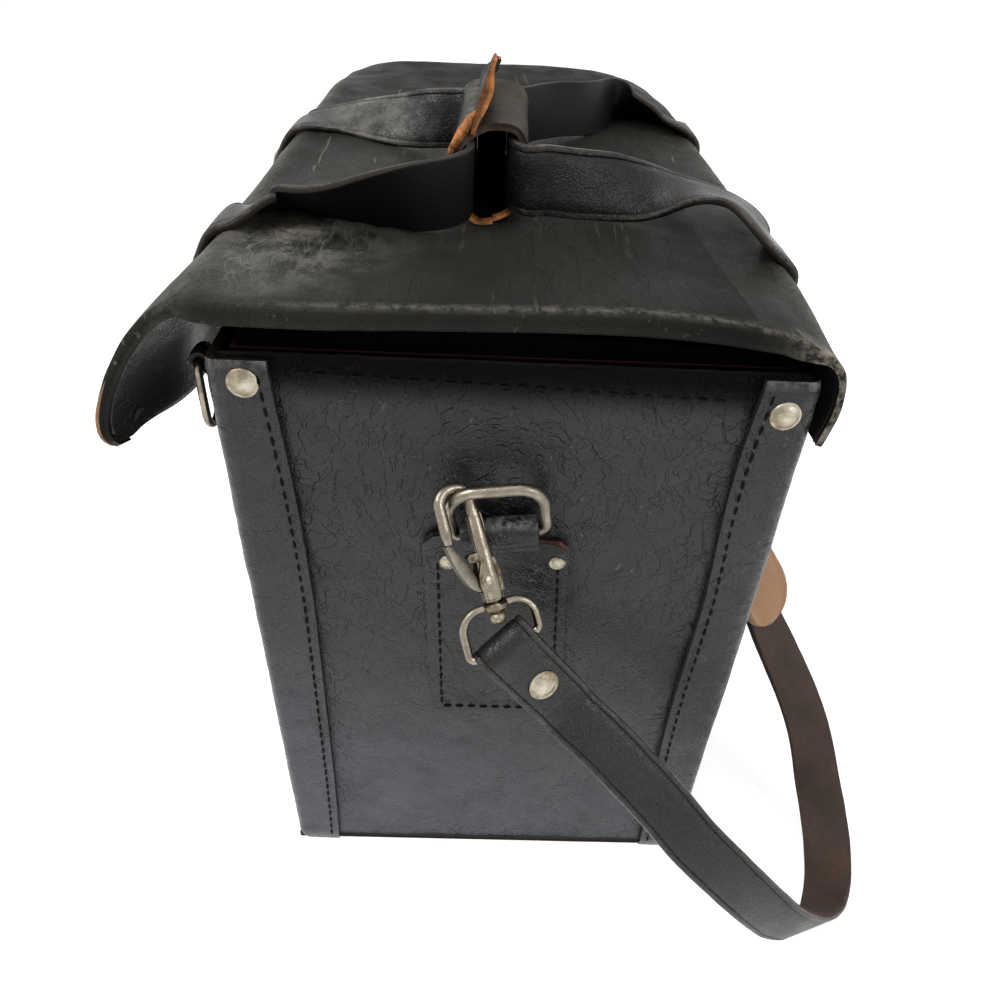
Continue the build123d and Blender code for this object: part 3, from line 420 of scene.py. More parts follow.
def sheet(outer, thickness, looks, flip, wear=0.0, crease=0.0, push=0.0, painted_light=0.0):
    """A closed sheet of leather from the grid of its outer face; looks are outer, edge, inner."""
    outer = np.array(outer, float)
    rows, columns = outer.shape[:2]
    out = unit(np.cross(np.gradient(outer, axis=1), np.gradient(outer, axis=0))) * flip
    outer = outer + out * np.broadcast_to(push, (rows, columns))[..., None]
    inner = outer - out * np.broadcast_to(thickness, (rows, columns))[..., None]
    ids = np.arange(rows * columns).reshape(rows, columns)
    quads = np.stack([ids[:-1, :-1], ids[1:, :-1], ids[1:, 1:], ids[:-1, 1:]], axis=-1).reshape(-1, 4)
    order = 1 if flip > 0 else -1
    marks = [np.broadcast_to(mark, (rows, columns)).ravel() for mark in (wear, crease, painted_light)]
    form = Form().add(outer.reshape(-1, 3), quads[:, ::order].tolist(), looks[0], *marks)
    form.add(inner.reshape(-1, 3), quads[:, ::-order].tolist(), looks[2])
    # the cut edge swells a little between the two faces
    rim = [*ids[0], *ids[1:, -1], *ids[-1, -2::-1], *ids[-2:0:-1, 0]]
    top, low = outer.reshape(-1, 3)[rim], inner.reshape(-1, 3)[rim]
    ahead = np.roll(top, -1, axis=0) - np.roll(top, 1, axis=0)
    swell = unit(np.cross(ahead, top - low)) * (-order)
    middle = (top + low) / 2 + swell * np.linalg.norm(top - low, axis=1)[:, None] * 0.22
    size, base = rows * columns, len(form.points)
    form.add(middle, [], looks[1])
    for i in range(len(rim)):
        j = (i + 1) % len(rim)
        a, b, c, d = int(rim[i]), int(rim[j]), base + i, base + j
        form.faces += [(a, b, d, c)[::-order], (c, d, b + size, a + size)[::-order]]
    form.looks += [looks[1]] * 2 * len(rim)
    return form


def rings(rows, columns, closed=False, caps=(True, True), turned=False):
    """Faces of a form made of equal rings of points, one ring after another."""
    faces = [
        (i * columns + c, i * columns + d, j * columns + d, j * columns + c)
        for i, j in ((i, (i + 1) % rows) for i in range(rows if closed else rows - 1))
        for c, d in ((c, (c + 1) % columns) for c in range(columns))
    ]
    if caps[0]:
        faces.append(tuple(reversed(range(columns))))
    if caps[1]:
        faces.append(tuple(range((rows - 1) * columns, rows * columns)))
    return [face[::-1] for face in faces] if turned else faces


def strap_profile(width, thick, groove, deep=0.34, crown=0.12):
    """Outline of a strap's section, grain side up, and the kind of each side of it."""
    h, g = width / 2, groove
    side = [(-h, -0.42 * thick), (-h + 0.3, -0.12 * thick), (-h + 0.9, 0.0)]
    if groove:
        side += [(-h + g - 0.4, 0.02), (-h + g, -deep), (-h + g + 0.5, 0.03)]
    side += [(-h * 0.45, crown)]
    top = side + [(0.0, crown * 1.2)] + [(-x, y) for x, y in reversed(side)]
    low = [(h, -0.72 * thick), (h - 0.3, -0.96 * thick), (h - 0.9, -thick), (0.0, -thick)]
    low += [(-x, y) for x, y in reversed(low[:-1])]
    return np.array(top + low), [0] * (len(top) - 1) + [1, 1, 1, 2, 2, 1, 1, 1]


def ribbon(middles, across, width, thick, looks, caps=(True, True), groove=2.2, uneven=0.25, crease=0.0):
    """A strap along middles; across is the direction of its width and grain is along x across."""
    middles = np.array(middles, float)
    along = unit(np.gradient(middles, axis=0))
    side = unit(across - along * np.sum(across * along, axis=1)[:, None])
    outline, kinds = strap_profile(width, thick, groove)
    points = []
    for place, way, grain in zip(middles, side, np.cross(along, side)):
        wobble = uneven * rumple(place, 14.0, 3.1)
        for x, y in outline:
            lift = y + thick / 2 + 0.5 * uneven * rumple(place + way * x, 9.0, 7.7, 2)
            points.append(place + way * (x + wobble) + grain * lift)
    rows = len(middles)
    face_looks = [looks[kind] for kind in kinds] * (rows - 1) + [looks[1]] * sum(caps)
    worn = [0.22 if abs(x) > width / 2 - 0.95 and y > -0.5 * thick else 0.0 for x, y in outline]
    return Form().add(points, rings(rows, len(outline), caps=caps, turned=True), face_looks, worn * rows, crease)


def spokes(ahead, side, count):
    """Directions round an axis, from one that is square to it."""
    turns = np.linspace(0, 2 * math.pi, count, endpoint=False)[:, None]
    return np.cos(turns) * side + np.sin(turns) * np.cross(ahead, side)


def tube(path, radius, look, closed=False, sides=14, uneven=0.0, wear=0.0):
    """A round wire along a path; the radius may change along it."""
    path = np.array(path, float)
    count = len(path)
    ahead = unit(np.roll(path, -1, axis=0) - np.roll(path, 1, axis=0) if closed else np.gradient(path, axis=0))
    side = unit(np.cross(ahead[0], ASKEW))
    points = []
    for place, way, r in zip(path, ahead, np.broadcast_to(radius, (count,))):
        side = square_to(side, way)
        for k, spoke in enumerate(spokes(way, side, sides)):
            points.append(place + spoke * (r + (uneven * rumple(place + side * k, 4.0) if uneven else 0)))
    if closed:
        # each ring is turned a little further, so that the last one meets the first
        first = points[0] - path[0]
        twist = math.atan2(first @ np.cross(ahead[0], side), first @ side)
        for i in range(count):
            turn = np.array(Matrix.Rotation(twist * i / count, 3, Vector(ahead[i])))
            ring = slice(i * sides, (i + 1) * sides)
            points[ring] = [path[i] + turn @ (p - path[i]) for p in points[ring]]
    return Form().add(points, rings(count, sides, closed, (not closed,) * 2), look, wear)


def lathe(profile, centre, axis, look, sides, dents=0.0):
    """A turned form: profile rows are (radius, height) from the axis' foot."""
    axis = unit(axis)
    ways = spokes(axis, unit(np.cross(axis, ASKEW)), sides)
    high = max(max(h for r, h in profile), 1e-6)
    points, wear = [], []
    for r, h in profile:
        for way in ways:
            place = vec(*centre) + way * r + axis * h
            points.append(place + axis * (dents * rumple(place, 3.0, 5.0) if dents else 0))
            wear.append(0.8 * ease(0.5, 1.0, h / high) * (0.5 + 0.5 * rumple(place, 2.5)))
    return Form().add(points, rings(len(profile), sides), look, wear)


def rivet(centre, axis, radius, height, shank=0.0):
    """A low domed cap with a faint ring pressed into its middle."""
    profile = [(radius * 0.90, -shank), (radius, -0.02), (radius, 0.22), (radius * 0.95, 0.48)]
    pressed = {0.42: 0.05, 0.34: 0.13}
    for share in (0.86, 0.74, 0.62, 0.52, 0.42, 0.34, 0.26, 0.18, 0.08):
        profile.append((radius * share, height * (1 - share**2.2) - pressed.get(share, 0.0)))
    return lathe(profile, centre, axis, "brass", 40, dents=0.10)


def stitches(path, pitch=4.7, length=3.4, thick=0.42):
    """Sunken thread stitches along a path on an end, each a short bowed capsule."""
    t = lengths(path)
    rise = vec(-0.30, 0.10, 0.24, 0.24, 0.10, -0.30)[:, None] * X
    swell = thick * vec(0.6, 0.95, 1.0, 1.0, 0.95, 0.6)
    form = Form()
    for n in range(int(t[-1] // pitch)):
        s = (n + 0.5) * pitch - length / 2 + np.linspace(0, length, 6)
        form.join(tube(places_at(s, t, path) + rise, swell, "thread", sides=7))
    return form


def slab(outline, origin, x_way, y_way, half, look):
    """A flat outline in a plane, thickened both ways."""
    out = np.cross(unit(x_way), unit(y_way))
    base = in_plane(outline, origin, x_way, y_way)
    count = len(base)
    faces = [tuple(reversed(range(count))), tuple(range(count, 2 * count))]
    faces += [(i, (i + 1) % count, (i + 1) % count + count, i + count) for i in range(count)]
    return Form().add([*(base - out * half), *(base + out * half)], faces, look)


def loop(corners, radii, steps=7):
    """A closed flat line with rounded corners, as (x, y) rows."""
    rows, count = [], len(corners)
    for i, radius in enumerate(radii):
        a, b, c = (np.array(corners[(i + k) % count], float) for k in (-1, 0, 1))
        u, v = unit(a - b), unit(c - b)
        half = math.acos(np.clip(u @ v, -1, 1)) / 2
        reach = radius / math.tan(half)
        centre = b + unit(u + v) * radius / math.sin(half)
        p, q = b + u * reach - centre, b + v * reach - centre
        rows += [centre + unit(p * (1 - w) + q * w) * radius for w in np.linspace(0, 1, steps + 1)]
    closed = np.array([*rows, rows[0]])
    t = lengths(closed)
    return places_at(np.unique(np.concatenate([t[:-1], np.arange(0, t[-1], 2.0)])), t, closed)


def in_plane(rows, origin, x_way, y_way):
    rows = np.asarray(rows, float)
    return vec(*origin) + rows[:, :1] * unit(x_way) + rows[:, 1:2] * unit(y_way)


# ---------------------------------------------------------------- lid, hinge and front flap
TILT = math.tan(math.radians(2.0))
FACE = 167.2  # outer face of the corner flaps
LID_END = 168.0
ARCH = [(-87, 0.3), (-54, 1.0), (-30, 2.5), (-5, 4.0), (30, 5.8), (55, 5.0), (72, 3.0), (86, 0.0)]
PUFF = vec((93, -72), (97, -66), (101, -57), (104.5, -48), (107, -38), (109, -28))
# the flap's section where it hangs, and at its near end where it flares out
HANG = [
    (-85.0, 245.6), (-89.2, 243.4), (-92.6, 238.6), (-95.6, 232.0), (-98.6, 225.0), (-101.6, 216.8),
    (-104.0, 208.4), (-105.3, 200.0), (-105.4, 191.4),
]
FLARE = [
    (-85.0, 245.5), (-91.4, 242.9), (-97.9, 237.7), (-103.6, 230.6), (-108.0, 223.6), (-111.6, 216.6),
    (-113.9, 210.2), (-114.4, 203.6), (-112.0, 196.2),
]
# folds of pieces that cross a joint: the two bodies, and a line over the fold from the first to the second
FLAP_FOLD = ("lid", "front_flap", (0, -84.5, 246), (0, -93.5, 238))
HINGE_FOLD = ("lid", "case", (0, 84.0, 239.5), (0, 88.5, 229.5))


def sunk(x, y):
    """How far the far front corner of the lid has dropped."""
    return 7.0 * ease(-92, -168, x) * min(max((-56 - y) / 30, 0.0), 1.0) ** 2


def lid_z(x, y):
    """Height of the lid's top leather at rest."""
    z = 239.0 + (85.2 - y) * TILT
    z += curve_1d(ARCH, y)[0] * ease(96, 167, abs(x)) * (1.0 if x > 0 else 0.8)
    z -= 2.4 * bell(x, 45, 46) * bell(y, -8, 30)
    z -= 2.6 * ease(-120, -168, x) * ease(45, 82, y)
    z += 2.2 * ease(-60, -165, x) - sunk(x, y)
    return z + 1.3 * bell(np.min(np.linalg.norm(PUFF - (x, y), axis=1)), 0, 5.0)


def back_path(x):
    """Hinge leather from the lid's top, over the back edge and down, as (y, z) rows."""
    k = ease(112, 167, abs(x))
    low = [(78.5, 239.1), (83.6, 236.2), (86.8, 232.4), (88.4, 226.0), (88.4, 219.0), (86.4, 210.0)]
    mid = [(78.5, lid_z(x, 78.5)), (84.0, 238.7), (87.2, 236.4), (88.3, 231.0), (87.8, 221.0), (86.0, 208.6)]
    rows = [(y, lid_z(x, y)) for y in (62.0, 66.0, 71.0)]
    return rows + [(a * (1 - k) + c * k, b * (1 - k) + d * k) for (a, b), (c, d) in zip(mid, low)]


def front_path(x):
    """Lid leather over the front fold and down the flap, which flares at its near end, as (y, z) rows."""
    rows = [(y, lid_z(x, y)) for y in (-62.0, -70.0, -78.0)]
    near = ease(112, 163, x)
    out = 3.0 * ease(70, -70, x)
    wave = (0.7 * math.sin(x / 23.0) + 0.5 * math.sin(x / 9.7 + 1)) * ease(160, 120, x)
    low = sunk(x, -86) - 2.2 * ease(-60, -165, x)
    for i, ((y0, z0), (y1, z1)) in enumerate(zip(HANG, FLARE)):
        y = y0 * (1 - near) + y1 * near - out * i / 8 + wave * 0.15 * i
        rows.append((y, z0 * (1 - near) + z1 * near - low * (1 - i / 8)))
    return rows


def cover_grid(rows_of, reach, turn, drop):
    """Grid of a cover that lies over a path and is turned down at both ends of the case."""
    count = len(reach)
    swell = {0.3: -0.25, 0.6: 0.05, 0.82: 0.65, 1.0: 0.25}
    bends = [(a, "round") for a in (0.35, 0.7, 1.0)] + [(a, "side") for a in swell]
    columns = [(-1.0, *bend) for bend in reversed(bends)]
    columns += [(u, 0.0, "flat") for u in np.linspace(-1, 1, 105)] + [(1.0, *bend) for bend in bends]
    grid = np.zeros((count, len(columns), 3))
    for c, (u, a, kind) in enumerate(columns):
        rows = rows_of(u * (LID_END - 3))
        ahead = unit(np.gradient(rows, axis=0))
        down = np.column_stack([ahead[:, 1], -ahead[:, 0]])
        down *= np.sign(-down[0][1])
        x, fall = u * (reach - turn), np.zeros(count)
        if kind == "round":
            x = u * (reach - turn + turn * math.sin(a * math.pi / 2))
            fall = turn * (1 - math.cos(a * math.pi / 2))
        elif kind == "side":
            x = u * (reach + swell[a] * (drop > 3))
            fall = turn + (drop - turn) * a
        grid[:, c, 0] = x
        grid[:, c, 1:] = rows + down * fall[:, None]
    return grid


def rumpled(grid, broad=0.30, fine=0.10):
    return np.array([[broad * rumple(p, 34, 2.0) + fine * rumple(p, 8, 9.0) for p in row] for row in grid])


def lid_wear(grid):
    """Rubbed places: the near and far crests, the corner by the hinge and a pale spot."""
    x, y, z = np.moveaxis(grid, 2, 0)
    crest = 0.40 * bell(np.abs(x), 166.4, 0.5) * ease(-95, -30, y)
    corner = 0.55 * bell(x, 166.5, 4) * bell(y, 82, 9)
    edge = 0.16 * bell(y, 86, 4) * ease(-150, 60, x)
    spot = 0.5 * bell(x, 112, 6) * bell(y, -68, 7)
    return np.clip(crest + corner + edge + spot + 0.12 * bell(y, -88, 4), 0, 1)


def lid_sheen_and_shade(grid):
    """Painted sheen on the near front of the lid and along its hem's crest, and painted shade on its far end and
    towards the hinge.
    """
    x, y, z = np.moveaxis(grid, 2, 0)
    inside = ease(167.5, 160, x)
    # painted sheen, strongest by the front corner at the near end, with a broad weaker sheen over the front
    painted_light = 0.95 * bell(x, 124, 34) * bell(y, -68, 20) * inside + 0.35 * bell(x, 60, 90) * bell(y, -40, 30) * inside
    # painted highlight along the crests of the turned-down ends
    painted_light += 0.12 * ease(166.6, 167.4, np.abs(x))
    # painted shade on the far end and on the side towards the hinge
    return np.clip(painted_light - 0.50 * ease(-30, -150, x) - 0.42 * ease(5, 60, y) * ease(-80, 40, x), -1, 1)


def lid_cover():
    """One leather from the lid's top over the front fold to the flap's tip."""
    lid_y = np.linspace(62, -62, 50)

    def rows_of(x):
        top = [(y, lid_z(x, y)) for y in lid_y]
        return np.vstack([top, smooth_path(front_path(x), 44)[1:]])

    middle = rows_of(0.0)
    s = lengths(middle)
    left = s[-1] - s
    on_flap = ease(-80, -90, middle[:, 0])
    corner = 10 - np.sqrt(np.maximum(0, 100 - (10 - np.minimum(left, 10)) ** 2))
    drop = 5.6 - 1.6 * on_flap - 2.0 * ease(8, 0, left)
    grid = cover_grid(rows_of, LID_END - 0.6 * on_flap - corner, 2.0 - 0.4 * on_flap, drop)
    form = sheet(grid, 2.0, ("cover", "rim", "panel"), -1, lid_wear(grid), 0.0, rumpled(grid), lid_sheen_and_shade(grid))
    # a stretch of raw edge shows where the flap's near corner is rubbed through
    edge = grid[:, -6]
    path = edge[(edge[:, 2] < 222) & (edge[:, 1] < -100)]
    fade = np.sin(np.linspace(0.12, math.pi - 0.12, len(path)))
    return form.join(tube(path, 0.55 * fade, "tan", sides=8))


def hinge_cover():
    """Leather that joins the lid to the back wall."""

    def rows_of(x):
        return smooth_path(back_path(x), 30)

    past = ease(74, 87, rows_of(0.0)[:, 0])
    grid = cover_grid(rows_of, LID_END + 0.3 * past, 2.6 - 1.6 * past, 5.6 - 3.2 * past)
    return sheet(grid, 2.2, ("cover", "rim", "darkflesh"), 1, lid_wear(grid), 0.2, rumpled(grid))


def lid_layer(below, thick, look, x_half, y_low, y_high):
    """A flat layer under the lid's leather, following its sag."""
    xs, ys = np.linspace(-x_half, x_half, 60), np.linspace(y_low, y_high, 34)
    return sheet([[(x, y, lid_z(x, y) - below) for x in xs] for y in ys], thick, (look, look, look), 1)


def flap_inside(s_low, s_high, half, depth, thick):
    """A strip on the flap's inner face between two distances from the fold."""
    columns = []
    for x in np.linspace(-half, half, 50):
        base = smooth_path(front_path(x), 300)
        s = lengths(base)
        s -= s[np.argmin(np.abs(base[:, 0] + 89.5))]
        column = []
        for d in np.linspace(s_low, s_high, 14):
            i = min(int(np.argmin(np.abs(s - d))), 298)
            ahead = unit(base[i + 1] - base[i])
            inward = vec(-ahead[1], ahead[0]) * (np.sign(-ahead[1]) or 1)
            column.append((x, *(base[i] + inward * depth)))
        columns.append(column)
    return sheet(np.transpose(columns, (1, 0, 2)), thick, ("burgundy", "burgundy", "burgundy"), 1)


lid_cover().piece("lid_cover", nodes=("lid_leather", "front_flap"), slot="case_leather", bend=FLAP_FOLD)
hinge_cover().piece("hinge_cover", nodes=("hinge_strip",), slot="case_leather", bend=HINGE_FOLD)
lid_layer(2.5, 2.1, "card", 164.6, -83.5, 76).piece("lid_stiffener", "lid", ("lid_board",), "card")
lid_layer(4.7, 0.7, "burgundy", 164.9, -84, 76.5).piece("lid_inside", "lid", ("lid_lining",), "burgundy_lining")
flap_inside(2, 13, 162.4, 2.5, 0.7).piece("flap_inside", "front_flap", ("flap_lining",), "burgundy_lining")

# ---------------------------------------------------------------- walls, ends and bottom
WALL_TOP = 229
CORNER_ROUND = 3.2
FRONT_EDGE = [(0, -63.0), (7, -62.7), (94, -61.2), (161, -61.1), (202, -63.2), (230, -65.4)]
BACK_EDGE = [
    (0, 66.2), (7, 66.1), (68, 64.5), (110, 64.7), (149, 65.8), (177, 64.8), (204, 64.9), (230, 66.9),
]


def wall_y(side, z):
    return -(79.5 + 2.6 * z / 230) if side < 0 else 82.4 + 0.5 * math.sin(math.pi * z / 230)


def wall(side):
    """Front or back leather with its two corner flaps turned onto the ends."""
    heights, r = np.linspace(0, WALL_TOP, 78), CORNER_ROUND
    grid = []
    for z, inner in zip(heights, curve_1d(FRONT_EDGE if side < 0 else BACK_EDGE, heights)):
        y = wall_y(side, z)
        tuck = 1.5 * (1 - ease(0, 5, z)) + 0.8 * ease(226, 229, z)
        end, pulled = FACE - tuck, side * tuck * 0.5
        row = [(end, inner + (y - side * r - inner) * t) for t in np.linspace(0, 1, 9)]
        for a in np.linspace(0, math.pi / 2, 7)[1:]:
            row.append((end - r + r * math.cos(a), y - side * r + side * r * math.sin(a) - pulled))
        row += [(x, y - pulled) for x in np.linspace(end - r, 0, 46)[1:]]
        row += [(-x, yy) for x, yy in row[-2::-1]]
        grid.append([(x, yy, z) for x, yy in row])
    grid = np.array(grid)
    x, y, z = np.moveaxis(grid, 2, 0)
    on_end = bell(np.abs(x), 166, 2.2) * ease(1.0, 0.0, np.abs(y - side * 81.5) / 5)
    wear = np.clip(0.35 * on_end + 0.5 * ease(226.5, 229, z) + 0.4 * ease(4, 0, z), 0, 1)
    push = [[0.30 * rumple(p, 26, 4.0) + 0.16 * rumple(p * (1, 1, 2.4), 9, 1.0) for p in row] for row in grid]
    # painted reflection of the pale floor: a bluish sheen that grows towards the bottom, half as strong on the back
    painted_light = 0.9 * ease(190, 20, z) * (1.0 if side < 0 else 0.5)
    return sheet(grid, 2.15, ("panel", "rim", "darkflesh"), side, wear, 0.45, push, painted_light)


def end_panel():
    """Leather over one end, drawn in long creases that fan out from the patch and the top hem."""
    ys, zs = np.linspace(-79, 80.5, 100), np.linspace(2, 229.4, 140)
    grid = np.array([[(165.0, y, z) for y in ys] for z in zs])
    x, y, z = np.moveaxis(grid, 2, 0)
    fold = [[1 - abs(rumple((y * 0.8 + z * 0.5, z * 0.35 - y * 0.25, 7.0), 17, 12.0, 2)) * 2.2 for y in ys] for z in zs]
    long_crease = -0.55 * np.maximum(0.0, np.array(fold) - 0.72) / 0.28
    broad = np.array([[rumple((y, z, 1.0), 30, 8.0) for y in ys] for z in zs])
    hollow = -0.5 * bell(y, 5, 45) * bell(z, 60, 60)
    hem = 0.35 * bell(z + 0.03 * y, 223.5, 1.6) - 1.1 * ease(226, 229.4, z)
    push = long_crease * (0.35 + 0.65 * ease(110, 215, z)) + 0.35 * broad - 0.15 + hollow + hem
    scuff = 0.9 * bell(y, 79, 3) * bell(z, 48, 4)
    crease = 0.15 + 0.85 * ease(90, 215, z)
    # painted reflection of the pale floor, growing towards the bottom and the front, and painted shade under the lid
    # along the top
    painted_light = 0.9 * ease(165, 10, z) * (0.75 + 0.25 * ease(60, -60, y)) - 0.95 * ease(211, 227, z)
    return sheet(grid, 1.6, ("panel", "rim", "darkflesh"), 1, scuff, crease, np.clip(push, -2.0, 0.45), painted_light)


def case_seams():
    """Stitch lines on one end: down the corner flaps and under the hem."""
    form = Form()
    zs = np.linspace(5, 226, 120)
    for knots, shift in ((FRONT_EDGE, -3.0), (BACK_EDGE, 3.0)):
        form.join(stitches([(FACE + 0.05, y + shift, z) for y, z in zip(curve_1d(knots, zs), zs)]))
    hem = [(165.35, y, 225.4 - 0.031 * (y + 60)) for y in np.linspace(-59, 62, 60)]
    return form.join(stitches(hem, 4.9, 3.0, 0.36))


def bottom():
    grid = np.array([[(x, y, 0.15) for x in np.linspace(-165.2, 165.2, 70)] for y in np.linspace(-80, 81, 40)])
    push = [[-0.15 + 0.12 * rumple(p, 30, 6.0) for p in row] for row in grid]
    return sheet(grid, 2.0, ("panel", "rim", "flesh"), -1, 0.0, 0.2, push)


wall(-1).piece("front_cover", "case", ("front_leather",), "case_leather")
wall(1).piece("back_cover", "case", ("back_leather",), "case_leather")
# the front board leans with its leather and is black as painted shade
board_rows = [[(x, wall_y(-1, z) + 2.4, z) for x in np.linspace(-163, 163, 40)] for z in np.linspace(2.5, 226, 24)]
sheet(board_rows, 1.8, ("shade", "shade", "shade"), -1).piece("front_stiffener", "case", ("front_board",), "card")
both_ends(end_panel(), "end_cover", "case", "end_leather_{}", "case_leather")
case_seams().both().piece("case_seams", "case", (), "case_leather")
bottom().piece("bottom_cover", "case", ("bottom_leather",), "case_leather")


def patch():
    """Riveted patch of one end, its top shoulders curling off the panel."""
    low, tall, corner = 88.4, 82.6, 3.4
    grid = []
    for v in np.linspace(0, 1, 44):
        left, right, z = -22.8 - 2.6 * v, 24.2 - 4.6 * v, low + tall * v
        near = min(v, 1 - v) * tall
        inset = corner - math.sqrt(max(0.0, corner**2 - (corner - min(near, corner)) ** 2))
        row = []
        for u in np.linspace(0, 1, 30):
            y = left + inset + (right - left - 2 * inset) * u
            curl = 2.4 * bell(y, 19.5, 5) * bell(z, 171, 6) + 1.0 * bell(y, -24.5, 4) * bell(z, 171, 5)
            lift = 1.2 * bell(y, -2, 12) * ease(160, 171, z) + 0.18 * rumple((y, z, 0), 16, 3.0)
            row.append((167.1 + curl + lift, y, z + 1.6 * ease(165, 171, z) * bell(y, -20, 7)))
        grid.append(row)
    grid = np.array(grid)
    x, y, z = np.moveaxis(grid, 2, 0)
    from_edge = np.min([y + 25.0, 23.4 - y, z - low, 172 - z], axis=0)
    form = sheet(grid, 2.1, ("panel", "rim", "flesh"), 1, 0.12 * ease(1.6, 0.0, from_edge), 0.6)
    return form.relook("rim", "reddish", lambda x, y, z: y > 7 and z > 165)


RING_MID = vec(170.5, -2.0, 177.5)
RING_ROLL, RING_LEAN = math.radians(8.0), math.radians(12.0)
BAR = Y * math.cos(RING_ROLL) + Z * math.sin(RING_ROLL)
BAR_UP = Z * math.cos(RING_ROLL) - Y * math.sin(RING_ROLL)
RING_UP = X * math.sin(RING_LEAN) + BAR_UP * math.cos(RING_LEAN)


def tongue():
    """Leather from the patch, round the ring's bar and back behind."""
    path = [
        (-4.4, -12.5), (-3.0, -8.4), (0.9, -4.6), (3.2, -1.4), (3.1, 1.4), (0.0, 3.5), (-2.9, 1.8),
        (-3.7, -3.0), (-4.4, -8.0),
    ]
    middles = in_plane(smooth_path(path, 52), RING_MID, X, BAR_UP)
    across = np.tile(-BAR, (52, 1))
    form = ribbon(middles, across, 23.4, 2.1, ("panel", "rim", "flesh"), groove=0, crease=0.8)
    form.wear = (0.65 * ease(2.2, 4.4, (np.array(form.points) - RING_MID) @ BAR_UP)).tolist()
    return form


def patch_seam():
    """Stitches down both sides of the patch and along its foot."""
    form = Form()
    corners = [(-20.6, 162.0), (-19.2, 92.6), (20.8, 92.8), (17.0, 162.0)]
    for (y0, z0), (y1, z1) in zip(corners, corners[1:]):
        form.join(stitches(np.linspace((167.2, y0, z0), (167.2, y1, z1), 40), 4.3, 3.0))
    return form


def studs(places, way, radius, height, shank):
    form = Form()
    for place in places:
        form.join(rivet(place, way, radius, height, shank))
    return form.both()


both_ends(patch().join(tongue()), "ring_tab", "case", "end_tab_{}", "case_leather")
patch_seam().both().piece("patch_seams", "case", (), "case_leather")
corner_places = ((FACE + 0.1, -72.0, 222.8), (FACE + 0.1, 74.0, 218.9))
studs(corner_places, X, 4.4, 1.8, 3).piece("corner_studs", "case", ("corner_rivets",), "pale_brass")
tab_places = ((FACE + 0.35, -17.6, 162.2), (FACE + 0.35, 16.6, 163.6))
studs(tab_places, (1, 0.05, 0), 2.7, 1.3, 2).piece("tab_studs", "case", ("tab_rivets",), "pale_brass")

# ---------------------------------------------------------------- carrying straps
# Edge pairs of each strap: the edge nearer the lid, then the raised one
FRONT_LOOP = [
    ((96.0, -85.5, 246.4), (118.0, -85.8, 246.6)), ((93.6, -76.6, 245.6), (114.6, -77.8, 252.4)),
    ((92.8, -69.0, 245.2), (112.0, -69.6, 255.0)), ((97.0, -63.8, 245.0), (115.0, -63.0, 257.2)),
    ((99.9, -55.1, 244.8), (115.8, -54.0, 259.2)), ((101.7, -47.0, 244.4), (114.0, -45.6, 261.4)),
    ((103.4, -39.0, 244.2), (111.0, -37.4, 262.8)), ((104.8, -30.1, 244.2), (107.6, -28.0, 264.4)),
    ((103.4, -22.0, 244.6), (103.6, -20.0, 265.6)), ((97.5, -16.2, 244.9), (97.0, -15.4, 266.6)),
    ((86.0, -15.0, 245.2), (86.0, -15.0, 267.0)), ((66.0, -15.0, 245.2), (66.0, -15.0, 267.0)),
    ((40.0, -15.0, 245.2), (40.0, -15.0, 267.0)), ((18.0, -15.6, 245.2), (18.0, -15.4, 266.8)),
    ((7.6, -20.5, 244.9), (5.6, -18.6, 265.6)), ((7.2, -31.0, 244.6), (3.6, -26.4, 264.2)),
    ((7.0, -42.0, 244.6), (0.4, -34.6, 262.2)), ((3.4, -53.6, 244.8), (-6.0, -43.6, 259.4)),
    ((-3.0, -64.8, 244.9), (-15.4, -53.4, 256.4)), ((-5.6, -73.4, 245.2), (-23.6, -65.8, 252.4)),
    ((-4.0, -80.4, 245.6), (-24.6, -75.4, 249.6)), ((-1.0, -86.0, 246.4), (-22.8, -85.0, 247.4)),
]
BACK_LOOP = [
    ((108.6, 84.0, 240.6), (87.0, 84.4, 240.8)), ((105.4, 77.4, 245.6), (84.2, 81.0, 245.0)),
    ((94.6, 71.6, 250.4), (74.4, 76.6, 247.4)), ((85.8, 62.0, 250.2), (65.8, 67.6, 249.4)),
    ((82.2, 52.6, 247.0), (63.2, 56.8, 252.4)), ((80.8, 43.6, 243.6), (66.8, 43.6, 256.6)),
    ((81.6, 32.6, 242.3), (73.4, 31.4, 260.8)), ((83.4, 20.2, 242.6), (78.4, 18.9, 263.2)),
    ((85.6, 11.0, 243.8), (83.4, 9.4, 265.0)), ((88.6, 4.4, 244.6), (88.8, 2.0, 266.4)),
    ((85.4, -0.5, 244.8), (85.6, -0.9, 266.6)),
    ((72.0, -0.9, 244.7), (72.0, -1.0, 266.5)), ((50.0, -1.0, 244.7), (50.0, -1.0, 266.5)),
    ((22.0, -1.0, 244.7), (22.0, -1.0, 266.5)), ((3.0, 0.2, 244.6), (3.2, -0.2, 266.2)),
    ((-10.0, 6.6, 243.4), (-9.0, 5.8, 265.2)), ((-23.0, 17.6, 242.8), (-25.4, 16.0, 264.2)),
    ((-35.0, 31.0, 242.2), (-35.4, 27.2, 262.4)), ((-56.0, 44.8, 241.6), (-52.0, 39.2, 258.8)),
    ((-78.0, 57.0, 241.2), (-66.0, 52.0, 254.8)), ((-79.0, 67.6, 240.8), (-61.4, 64.0, 251.4)),
    ((-75.6, 76.4, 240.6), (-55.4, 75.4, 245.6)), ((-71.6, 84.2, 240.8), (-49.8, 84.2, 240.9)),
]
CARRY_WIDTH, CARRY_THICK = 21.8, 2.6


